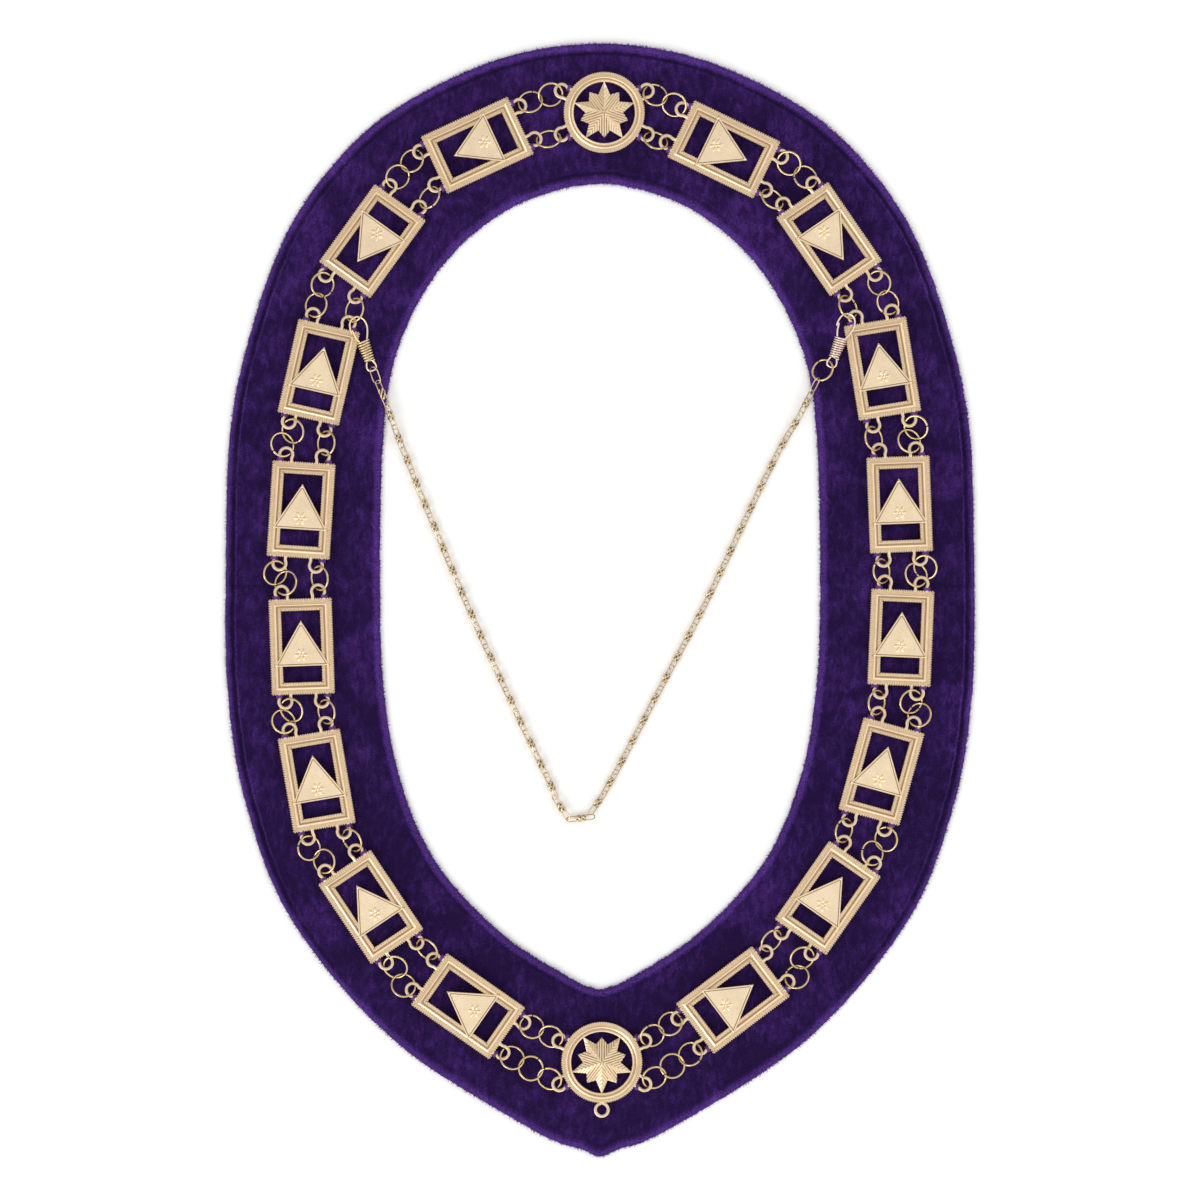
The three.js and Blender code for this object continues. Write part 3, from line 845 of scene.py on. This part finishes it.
def buildPlates():
    model = plateModel()
    for node, middle, turn in plateSpots():
        spot = placed(middle.x, middle.y, chain["metalBottom"], turn)
        finishPiece(stamp(f"gilt_{node}", [(model, [spot])]), "castPlate", node)
    print("plates:", len(model.data.polygons), "faces each")
    dropTemplates(model)


medallion = {
    "radius": 20.3,
    "segments": 96,
    # radius and height round the rim, from the outer foot over the top and down inside
    "rim": [(20.1, 0.4), (20.1, 2.4), (19.95, 2.6), (18.65, 2.6), (18.5, 2.4), (18.2, 2.4), (18.05, 2.95),
            (17.6, 3.2), (17.15, 3.05), (16.95, 2.6), (16.8, 2.25), (16.45, 2.25), (16.3, 2.75), (15.9, 3.1),
            (15.4, 3.0), (15.15, 2.6), (15.1, 0.4)],
    # the heights between which the rim's grooves go from patina and painted shade to bare metal
    "grooves": (1.95, 2.45),
    "ridges": 108,
    "ridge": (0.74, 1.7, 0.8),
    "ridgeAt": 19.5,
    "rays": 5,
    "longRay": 15.7,
    "shortRay": 12.5,
    "notch": 9.4,
    "peak": 3.6,
    "crest": 2.8,
    "notchCrest": 1.9,
    "bottom": 0.8,
    "veinPitch": 1.18,
    "veinGap": 0.15,
    # across one vein: place and rise
    "vein": [(-0.46, -0.12), (-0.3, 0.4), (0.3, 0.4), (0.46, -0.12)],
    # tones: of the star and its painted light, which varies round it with the way each sector faces, then
    # painted shade on short rays, a painted highlight on long rays, and what is added on the veins
    "starTone": (0.52, 0.14),
    "shortRayShade": -0.08,
    "longRayHighlight": 0.12,
    "veinTone": 0.2,
    "pendantStand": 3.3,
}


def rimModel():
    profile = medallion["rim"]
    deselectAll()
    bpy.ops.mesh.primitive_circle_add(vertices=medallion["segments"], radius=profile[0][0] * mm)
    piece = shaped(at=(0, 0, profile[0][1] * mm))
    editAll("EDGE")
    around = profile[1:] + profile[:1]
    for (radius, height), (nextRadius, nextHeight) in zip(profile, around):
        bpy.ops.mesh.extrude_region_move(
            TRANSFORM_OT_translate={"value": (0, 0, (nextHeight - height) * mm)})
        grow = nextRadius / radius
        bpy.ops.transform.resize(value=(grow, grow, 1), center_override=(0, 0, 0))
    markRaised(closeModel(piece), *medallion["grooves"])
    return markMilled(piece, lambda at: profile[0][0] - math.hypot(at.x, at.y), plate["milled"][:1])


def polar(radius, angle, height):
    return np.array((radius * math.cos(angle), radius * math.sin(angle), height))


def starModel():
    # long rays stand up as crests, short ones lie between them, and fine veins run out along the short rays
    half = math.pi / (2 * medallion["rays"])
    longTip = polar(medallion["longRay"], 2 * half, medallion["crest"])
    notch = polar(medallion["notch"], half, medallion["notchCrest"])
    shortTip = polar(medallion["shortRay"], 0, medallion["crest"])
    peak = np.array((0, 0, medallion["peak"]))
    slopes = []
    for tip in (shortTip, longTip):
        slopes.append(np.linalg.solve([tip[:2], notch[:2]], [tip[2] - peak[2], notch[2] - peak[2]]))
    tone, vary = medallion["starTone"]
    points = []
    faces = []
    marks = []

    def add(corners, raisedAndLit, loops):
        faces.extend(tuple(len(points) + corner for corner in loop) for loop in loops)
        points.extend(corners)
        marks.extend(raisedAndLit)

    def ground(x, y):
        return peak[2] + slopes[1 if math.atan2(y, x) > half else 0] @ (x, y)

    def veinLine(away):
        # from the long ray's crest, over the valley between the rays, to the star's edge
        if away < notch[1]:
            end = shortTip[0] + (notch[0] - shortTip[0]) * away / notch[1]
        else:
            end = notch[0] + (longTip[0] - notch[0]) * (away - notch[1]) / (longTip[1] - notch[1])
        crest, valley, gap = away / math.tan(2 * half), away / math.tan(half), medallion["veinGap"]
        return [crest, valley, end - gap] if valley < end - 2 * gap else [crest, end - gap]

    for sector in range(medallion["rays"]):
        heading = (2 * sector + 1) * 2 * half
        turn = np.array(Matrix.Rotation(heading, 3, "Z"))
        # painted light: each sector's tone rises and falls with the way it faces; long rays get a painted
        # highlight and short ones painted shade
        body = tone + vary * math.cos(heading)
        rays = ((shortTip, body + medallion["shortRayShade"]), (longTip, body + medallion["longRayHighlight"]))
        foot = body + medallion["veinTone"]
        for side in (1, -1):
            flip = np.array((1, side, 1))
            for tip, lit in rays:
                top = [peak, tip, notch]
                low = [corner * (1, 1, 0) + (0, 0, medallion["bottom"]) for corner in top]
                corners = [turn @ (corner * flip) * mm for corner in top + low]
                add(corners, [lit] * 6, [(0, 1, 2), (5, 4, 3), (0, 3, 4, 1), (1, 4, 5, 2), (2, 5, 3, 0)])
            for vein in range(int(longTip[1] / medallion["veinPitch"]) - 1):
                away = (vein + 0.5) * medallion["veinPitch"]
                line = veinLine(away)
                corners = []
                for x in line:
                    for aside, rise in medallion["vein"]:
                        corner = np.array((x, away + aside, ground(x, away) + rise))
                        corners.append(turn @ (corner * flip) * mm)
                count = len(corners)
                caps = [(0, 1, 2, 3), tuple(range(count - 1, count - 5, -1))]
                sides = [(a, d, c, b) for a, b, c, d in net(len(line), 4, False)]
                # patina and painted shade at the veins' feet, bare metal on their tops
                add(corners, [foot, 1, 1, foot] * len(line), caps + sides)
    piece = meshPiece("starModel", [tuple(point) for point in points], faces)
    setMark(piece, "raisedAndLit", marks)
    makeActive(piece)
    editAll("VERT")
    bpy.ops.mesh.normals_make_consistent(inside=False)
    bpy.ops.object.mode_set(mode="OBJECT")
    return piece


def medallionMiddle(node):
    # in millimetres, told from the top of the box, as the pendant loop is below
    low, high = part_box(node)
    return Vector(((low.x + high.x) / 2 / mm, high.y / mm - medallion["radius"]))


def buildMedallions():
    rim = rimModel()
    star = starModel()
    loop = eyeletModel("chain")
    pendant = eyeletModel("pendant")
    ridge = ridgeModel(medallion["ridge"])
    milling = [spun(360 * step / medallion["ridges"]) @ placed(0, medallion["ridgeAt"], plate["millingAt"])
               for step in range(medallion["ridges"])]

    def loopSpot(degrees, stand):
        return spun(degrees) @ placed(medallion["radius"] + stand, 0, chain["eyeletMid"], -math.pi / 2)

    for node, starTurn in (("medallion_top", 90), ("medallion_bottom", -90)):
        middle = medallionMiddle(node)
        spot = placed(middle.x, middle.y, chain["metalBottom"])
        loops = [spot @ loopSpot(degrees, chain["eyeletStand"]) for degrees in chain["medallionEyelets"]]
        rows = [(rim, [spot]), (star, [spot @ spun(starTurn)]),
                (ridge, [spot @ place for place in milling]), (loop, loops)]
        if node == "medallion_bottom":
            rows.append((pendant, [spot @ loopSpot(-90, medallion["pendantStand"])]))
        finishPiece(stamp(f"gilt_{node}", rows), "castPlate", node)
    dropTemplates(rim, star, loop, pendant, ridge)
    print("medallions made")


buildPlates()
buildMedallions()


# jump rings: each string runs between two eyelets, its rings linked through each other;
# slack pairs hang aside and lie closer together than in the solids
ring = {
    "radius": 6.0,
    "wire": 0.57,
    "steps": 30,
    "sides": 8,
    "buttGap": 6.0,
    "tautPitch": 11.3,
    "tautArm": 4.15,
    "linkPitch": 10.72,
    "slackArm": 5.2,
    # how far linked rings pass into each other, and how much more in spans shorter than the last
    "contact": (1.3, 0.65, 18),
    "rounds": 6,
    # degrees: least lean of a slack pair's crossing, and how far linked rings tilt
    "lean": 6,
    "tilt": 28,
    "lift": 0.05,
    # single rings stand at most so steep, in degrees, and less in gaps wider than singleSpan
    "singleMost": 45,
    "singleLeast": 40,
    "singleSpan": 12.5,
    "singlePerMm": 2,
    "floorGap": 0.1,
    "solidWire": 0.5,
    # rings on the outer and the neck side of a gap, and of the two gaps beside the front medallion
    "counts": (2, 1),
    "frontCounts": (3, 2),
    "frontGaps": (8, 9),
    # which way the string in each gap sways, clockwise from the top
    "sways": [-1, 1, 1, 1, 1, -1, 1, -1, 1, -1, 1, -1, 1, -1, 1, -1, 1, -1],
}


def ringModel(radius):
    # a wire circle spun almost all the way round, its two cut ends left a hair apart
    deselectAll()
    bpy.ops.mesh.primitive_circle_add(vertices=ring["sides"], radius=ring["wire"] * mm)
    piece = shaped(at=(radius * mm, 0, 0), turn=90)
    editAll("EDGE")
    bpy.ops.mesh.edge_face_add()
    sweep = math.radians(360 - ring["buttGap"])
    bpy.ops.mesh.spin(steps=ring["steps"], angle=sweep, center=(0, 0, 0), axis=(0, 0, 1))
    return closeModel(piece)


def chainLinks():
    # each link's middle and eyelets, clockwise from the top medallion
    ends = []
    for node in ("medallion_top", "medallion_bottom"):
        middle = medallionMiddle(node)
        reach = medallion["radius"] + chain["eyeletStand"]
        angles = [math.radians(degrees) for degrees in chain["medallionEyelets"]]
        ends.append((middle, [middle + reach * Vector((math.cos(a), math.sin(a))) for a in angles]))
    plates = []
    for node, middle, turn in plateSpots():
        flatMiddle = Vector((middle.x, middle.y))
        spin = Matrix.Rotation(turn, 2)
        plates.append((flatMiddle, [flatMiddle + spin @ Vector(spot) for spot in plateEyelets()]))
    right = len(chain["right"])
    return [ends[0], *plates[:right], ends[1], *plates[right:]]


def gapEnds(links, gap, isOuter):
    neck = Vector(chain["neck"])

    def facing(eyelets, other):
        near = sorted(eyelets, key=lambda spot: (spot - other).length)[:2]
        near.sort(key=lambda spot: -(spot - neck).length)
        return near[0 if isOuter else 1]

    (middle, eyelets), (nextMiddle, nextEyelets) = links[gap], links[(gap + 1) % len(links)]
    start, end = facing(eyelets, nextMiddle), facing(nextEyelets, middle)
    chord = end - start
    return (start + end) / 2, chord.length, math.atan2(chord.y, chord.x)


def singleRing(span):
    wanted = ring["singleMost"] - ring["singlePerMm"] * (span - ring["singleSpan"])
    tilt = math.radians(min(max(wanted, ring["singleLeast"]), ring["singleMost"]))
    rise = ring["radius"] * math.sin(tilt) + ring["solidWire"] + ring["floorGap"]
    rise -= eyeletLevel - chain["clothTop"]
    return Vector((0, -rise / math.tan(tilt), rise)), Vector((0, -math.tan(tilt))), tilt


def slackLay(span):
    least, more, easySpan = ring["contact"]
    contact = least + more * max(0, easySpan - span)
    half = ring["radius"]
    for step in range(ring["rounds"]):
        along = (span * span / 4 + half * half - ring["slackArm"] ** 2) / span
        aside = math.sqrt(half * half - along * along)
        neighbour = math.atan2(-aside, along)
        crossing = math.atan2(aside, span / 2 - along) - neighbour
        lean = crossing - math.pi / 2
        if abs(lean) < math.radians(ring["lean"]):
            crossing = math.pi / 2 + math.copysign(math.radians(ring["lean"]), lean)
        slope = neighbour + math.pi / 2 + crossing
        steep = math.atan(math.tan(math.radians(ring["tilt"])) * math.sin(crossing))
        half = ring["radius"] * math.cos(steep) - contact / 2
    return along, aside, slope


def stringLay(span, count, sway):
    if span >= ring["tautPitch"] * (count - 1) + 2 * ring["tautArm"]:
        along, aside, slope = ring["linkPitch"] * (count - 1) / 2, 0, math.pi / 2
    else:
        along, aside, slope = slackLay(span)
    rows = []
    for index in range(count):
        share = 1 - 2 * index / (count - 1)
        steep = share * math.tan(math.radians(ring["tilt"]))
        middle = Vector((-along * share, sway * aside * share, ring["lift"]))
        rows.append((middle, Vector((steep * math.cos(slope), sway * steep * math.sin(slope)))))
    return rows


def ringSpot(middle, gradient, gapTurn):
    # lays a flat ring at its middle, with its plane rising along the gradient
    normal = Vector((-gradient.x, -gradient.y, 1)).normalized()
    lean = Vector((0, 0, 1)).rotation_difference(normal).to_matrix().to_4x4()
    return placed(*middle) @ lean @ Matrix.Rotation(gapTurn, 4, "Z")


def buildRings():
    model = ringModel(ring["radius"])
    links = chainLinks()
    butts = random.Random(3)
    total = 0
    for gap, sway in enumerate(ring["sways"]):
        outer, inner = ring["frontCounts"] if gap in ring["frontGaps"] else ring["counts"]
        for name, isOuter, count in (("outer", True, outer), ("inner", False, inner)):
            middle, span, turn = gapEnds(links, gap, isOuter)
            spot = placed(middle.x, middle.y, eyeletLevel, turn)
            if count == 1:
                rows = [singleRing(span)[:2]]
            else:
                rows = stringLay(span, count, sway)
            places = [spot @ ringSpot(at, gradient, butts.uniform(0, math.tau)) for at, gradient in rows]
            total += count
            node = f"rings_{name}_{gap + 1:02d}"
            finishPiece(stamp(f"gilt_{node}", [(model, places)]), "ringWire", node)
    dropTemplates(model)
    print("jump rings:", total)


buildRings()


# spring clips: bent wire bows whose overlapping tips are the gate, wound round with a tapered coil
clip = {
    "wire": 0.55,
    "bowWire": 0.48,
    "length": 28.6,
    "hook": [(1.7, -13.4), (3.5, -9), (4.2, -5.5), (3.2, -1.75), (0, 0), (-3.2, -1.75), (-4.25, -5.4),
             (-4.1, -7.6)],
    "gate": [(-1.7, -13.4), (-2.9, -10), (-3.3, -7.4), (-3.55, -5.9)],
    "eye": [(-1.5, -23.2), (-2.2, -25), (-2.3, -26.6), (-1.5, -27.75), (0, -28.05), (1.5, -27.75),
            (2.3, -26.6), (2.2, -25), (1.5, -23.2)],
    # each bow's lift and the steps between its points
    "bows": [("hook", 0.25, 5), ("gate", -0.3, 4), ("eye", 0, 4)],
    "sides": 8,
    "coilTop": 12.1,
    "coilLength": 11.6,
    "coilRadii": (3.1, 2.3),
    "coilFlat": 0.62,
    "coilWire": 0.46,
    "coilSteps": 16,
    "coilDark": 0.75,
    "hookGap": 1.0,
    "hookAngle": 32,
    "eyeDrop": 2,
    "ringRadius": 5.5,
    "ringTurn": 2.0,
}

clipRows = [
    {"node": "clip_right", "gap": 2, "end": 1, "heading": -20, "turns": 9, "finish": "clipPink"},
    {"node": "clip_left", "gap": 15, "end": -1, "heading": 18, "turns": 8, "finish": "clipYellow"},
]


def clipModel(turns):
    parts = []
    for name, lift, perSpan in clip["bows"]:
        line = smoothLine([(x, y, lift) for x, y in clip[name]], perSpan)
        parts.append(wire(name, line, clip["bowWire"], clip["sides"]))
    wide, narrow = clip["coilRadii"]
    steps = turns * clip["coilSteps"]
    path = []
    for step in range(steps + 1):
        share = step / steps
        angle = math.tau * step / clip["coilSteps"]
        radius = wide + (narrow - wide) * share
        along = -clip["coilTop"] - clip["wire"] - (clip["coilLength"] - 2 * clip["wire"]) * share
        path.append((radius * math.cos(angle), along, radius * clip["coilFlat"] * math.sin(angle)))
    coil = wire("coil", path, clip["coilWire"], clip["sides"])
    # painted shade: each turn is bright along its top and dark where it meets the next
    middles = [along for across, along, height in path for side in range(clip["sides"])]
    aside = [(v.co.y / mm - along) / clip["coilWire"] for v, along in zip(coil.data.vertices, middles)]
    setMark(coil, "raisedAndLit", [1 - clip["coilDark"] * min(1, share ** 2) for share in aside])
    return joinParts("clipModel", [*parts, coil])


def clipSpot(links, row):
    middle, span, turn = gapEnds(links, row["gap"], False)
    centre, gradient, tilt = singleRing(span)
    angle = math.radians(clip["hookAngle"])
    across = ring["radius"] * math.sin(angle)
    bearing = Vector((row["end"] * ring["radius"] * math.cos(angle), centre.y - across * math.cos(tilt),
                      centre.z + across * math.sin(tilt)))
    bearing = Matrix.Rotation(turn, 3, "Z") @ bearing
    bearing += Vector((middle.x, middle.y, eyeletLevel))
    heading = math.radians(row["heading"])
    back = ring["solidWire"] + clip["wire"] + clip["hookGap"]
    bearing += Vector((-math.sin(heading), math.cos(heading), 0)) * back
    pitch = math.degrees(math.asin(clip["eyeDrop"] / clip["length"]))
    return placed(*bearing) @ spun(row["heading"]) @ spun(pitch, "X")


def solidGradient(node):
    # the slope of a solid ring's plane, fitted to its own corners
    corners = np.array([vertex.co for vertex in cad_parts[node].data.vertices])
    corners -= corners.mean(0)
    slope = np.linalg.lstsq(corners[:, :2], corners[:, 2], rcond=None)[0]
    return Vector((float(slope[0]), float(slope[1])))


def buildClips():
    links = chainLinks()
    for row in clipRows:
        model = clipModel(row["turns"])
        piece = stamp(f"wire_{row['node']}", [(model, [clipSpot(links, row)])])
        finishPiece(piece, row["finish"], row["node"])
        dropTemplates(model)
    # the ring between the right clip and the safety chain lies where its solid does
    low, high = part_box("clip_ring")
    model = ringModel(clip["ringRadius"])
    spot = ringSpot((low + high) / 2 / mm, solidGradient("clip_ring"), clip["ringTurn"])
    finishPiece(stamp("gilt_clip_ring", [(model, [spot])]), "ringWire", "clip_ring")
    dropTemplates(model)
    print("clips made")


buildClips()


# safety chain: wound links along the route of the solid, with a plain oval link at each end, in millimetres
safety = {
    "route": [(-113.05, 113.6, 7), (-107.6, 100.5, 4.9), (-104.2, 91, 3.9), (-99.5, 78, 2.4),
              (-93.5, 63, 2.1), (-87.5, 48, 2.1), (-65, -5.5, 2.1), (-45, -49.5, 2.1), (-26, -89.5, 2.1),
              (-18.5, -105, 2.1), (-10.5, -109, 2.1), (-4, -105, 2.1), (6, -89.5, 2.1), (30, -44.5, 2.1),
              (52.5, -2, 2.1), (77.5, 50.5, 2.1), (90, 75.5, 2.2), (99, 91, 3.3), (104.2, 101, 4.7),
              (108.1, 109, 6.5)],
    "perSpan": 24,
    "links": 41,
    "lead": 5.8,
    "tail": 6.2,
    "halfLong": 7.1,
    "halfWide": 1.3,
    "wire": 0.32,
    "sides": 6,
    "bendSteps": 6,
    "barrelHalf": 2.6,
    "barrelWide": 1.45,
    "barrelHigh": 1.1,
    "barrelTaper": 0.3,
    "strands": 4,
    "strandSteps": 5,
    "strandDark": 0.58,
    "twist": 85,
    "strandWire": 0.45,
    "roll": 24,
    # end links: middle, heading from +X, fall, roll
    "endHalf": (4.4, 2.4),
    "ends": [((-112.1, 112.0, 6.6), -70.5, 8, 38), ((107.1, 107.0, 6.2), -116.4, 10, -62)],
}


def ovalLoop(halfLong, halfWide):
    # a closed wire oval in the XY plane, long along X
    steps = safety["bendSteps"]
    outline = []
    for end in (1, -1):
        for step in range(steps + 1):
            angle = math.pi * (step / steps - 0.5) + (0 if end > 0 else math.pi)
            x = end * (halfLong - halfWide) + halfWide * math.cos(angle)
            outline.append((x, halfWide * math.sin(angle), 0))
    return wire("linkLoop", outline, safety["wire"], safety["sides"], closed=True)


def linkModel():
    # a long wire loop with open windows at its ends, and strands twisted together round its middle
    parts = [ovalLoop(safety["halfLong"], safety["halfWide"])]
    wide, high, dark = safety["barrelWide"], safety["barrelHigh"], safety["strandDark"]
    steps = safety["strandSteps"]
    for strand in range(safety["strands"]):
        path = []
        for step in range(-steps, steps + 1):
            share = step / steps
            angle = math.tau * (strand + 0.5) / safety["strands"] + math.radians(safety["twist"]) * share
            swell = 1 - safety["barrelTaper"] * share ** 4
            y, z = wide * swell * math.cos(angle), high * swell * math.sin(angle)
            path.append((safety["barrelHalf"] * share, y, z))
        part = wire("linkStrand", path, safety["strandWire"], safety["sides"])
        # patina and painted shade: bright on the outside of the winding, dark between its strands
        away = [math.hypot(v.co.y / wide, v.co.z / high) / mm for v in part.data.vertices]
        parts.append(setMark(part, "raisedAndLit", [min(1, max(0, (out - dark) / (1 - dark))) for out in away]))
    return joinParts("linkModel", parts)


def walk(line, count):
    # count places spaced evenly along a line, each with its direction
    lengths = np.cumsum([0.0] + [(b - a).length for a, b in zip(line, line[1:])])
    spots = []
    for index in range(count):
        want = safety["lead"] + (lengths[-1] - safety["lead"] - safety["tail"]) * (index + 0.5) / count
        span = int(np.searchsorted(lengths, want)) - 1
        share = (want - lengths[span]) / (lengths[span + 1] - lengths[span])
        spots.append((line[span].lerp(line[span + 1], share), (line[span + 1] - line[span]).normalized()))
    return spots


def buildSafetyChain():
    model = linkModel()
    line = smoothLine(safety["route"], safety["perSpan"])
    places = []
    for index, (spot, along) in enumerate(walk(line, safety["links"])):
        side = Vector((0, 0, 1)).cross(along).normalized()
        basis = Matrix((along, side, along.cross(side))).transposed().to_4x4()
        roll = safety["roll"] * (1 if index % 2 else -1)
        places.append(placed(*spot) @ basis @ spun(roll, "X"))
    oval = ovalLoop(*safety["endHalf"])
    ends = [placed(*middle) @ spun(heading) @ spun(fall, "Y") @ spun(roll, "X")
            for middle, heading, fall, roll in safety["ends"]]
    finishPiece(stamp("wound_safety_chain", [(model, places), (oval, ends)]), "chainWire", "safety_chain")
    dropTemplates(model, oval)
    print("safety chain:", len(places), "links")


buildSafetyChain()


# tack stitches: violet thread over the outer leg of each eyelet
stitch = {
    "strands": 4,
    "spread": 0.42,
    "wire": 0.24,
    "sides": 6,
    # one half of a strand from its foot to its top: out, share of the spread, height
    "arch": [(1.7, 1.3, -2.6), (1.36, 1, 0.2), (0.5, 0.8, 1.15)],
    "perSpan": 3,
    "outward": 2.9,
    "inward": 2.6,
}


def stitchModel():
    parts = []
    for strand in range(stitch["strands"]):
        shift = (strand - (stitch["strands"] - 1) / 2) * stitch["spread"]
        rise = [(-out, shift * share, height) for out, share, height in stitch["arch"]]
        line = smoothLine(rise + [(-x, y, z) for x, y, z in reversed(rise)], stitch["perSpan"])
        parts.append(wire("strand", line, stitch["wire"], stitch["sides"]))
    return joinParts("stitchModel", parts)


def buildStitches():
    model = stitchModel()
    places = []
    for node, middle, turn in plateSpots():
        spot = placed(middle.x, middle.y, eyeletLevel, turn)
        for x, y in plateEyelets():
            outward = x + math.copysign(stitch["outward"], x)
            inward = y - math.copysign(stitch["inward"], y)
            places.append(spot @ placed(outward, inward, 0))
    reach = medallion["radius"] + chain["eyeletStand"] - stitch["inward"]
    for node in ("medallion_top", "medallion_bottom"):
        middle = medallionMiddle(node)
        spot = placed(middle.x, middle.y, eyeletLevel)
        for degrees in chain["medallionEyelets"]:
            angle = math.radians(degrees)
            side = -math.copysign(stitch["outward"], math.cos(angle) * math.sin(angle))
            places.append(spot @ spun(degrees - 90) @ placed(side, reach, 0))
    finishPiece(stamp("tack_stitches", [(model, places)]), "thread")
    dropTemplates(model)
    print("tack stitches:", len(places))


buildStitches()


# floor, light and camera
studio = {
    "floor": {"Base Color": (0.96, 0.96, 0.965, 1), "Roughness": 0.9, "Specular IOR Level": 0.1},
    "floorWide": 12,
    "sky": (1.0, 0.99, 0.97, 1),
    "dome": 0.93,
    "domeLean": 0.45,
    # soft lamps: place, size and watts
    "lamps": {"softLow": ((-1.3, -1.5, 1.5), 0.8, 13), "softHigh": ((1.5, 1.1, 1.6), 0.9, 7)},
    "frameWide": 0.6,
    "cameraAt": 2.4,
    "lens": 100,
}


def buildStudio():
    deselectAll()
    bpy.ops.mesh.primitive_plane_add(size=studio["floorWide"], location=(0, 0, 0))
    floor = bpy.context.object
    floor.name = "floor"
    material, shader, shade, place = newFinish("paleFloor")
    shade.fill(shader, studio["floor"])
    floor.data.materials.append(material)
    world = bpy.data.worlds.new("studioWorld")
    world.use_nodes = True
    # a pale dome, a little brighter over the collar's front than over its back
    shade = Shade(world.node_tree)
    ahead = shade.make("ShaderNodeTexCoord").part(1)
    strength = studio["dome"] - ahead * studio["domeLean"]
    shade.fill(world.node_tree.nodes["Background"], {"Color": studio["sky"], "Strength": strength})
    bpy.context.scene.world = world
    for name, (spot, size, power) in studio["lamps"].items():
        lamp = bpy.data.lights.new(name, "AREA")
        lamp.size = size
        lamp.energy = power
        light = bpy.data.objects.new(name, lamp)
        light.location = spot
        light.rotation_mode = "QUATERNION"
        light.rotation_quaternion = (-Vector(spot)).to_track_quat("-Z", "Y")
        bpy.context.scene.collection.objects.link(light)
    lens = bpy.data.cameras.new("topCamera")
    lens.lens = studio["lens"]
    lens.sensor_width = studio["lens"] * studio["frameWide"] / studio["cameraAt"]
    camera = bpy.data.objects.new("topCamera", lens)
    camera.location = (0, 0, studio["cameraAt"])
    bpy.context.scene.collection.objects.link(camera)
    bpy.context.scene.camera = camera
    bpy.context.scene.view_settings.view_transform = "Standard"


buildStudio()
deselectAll()
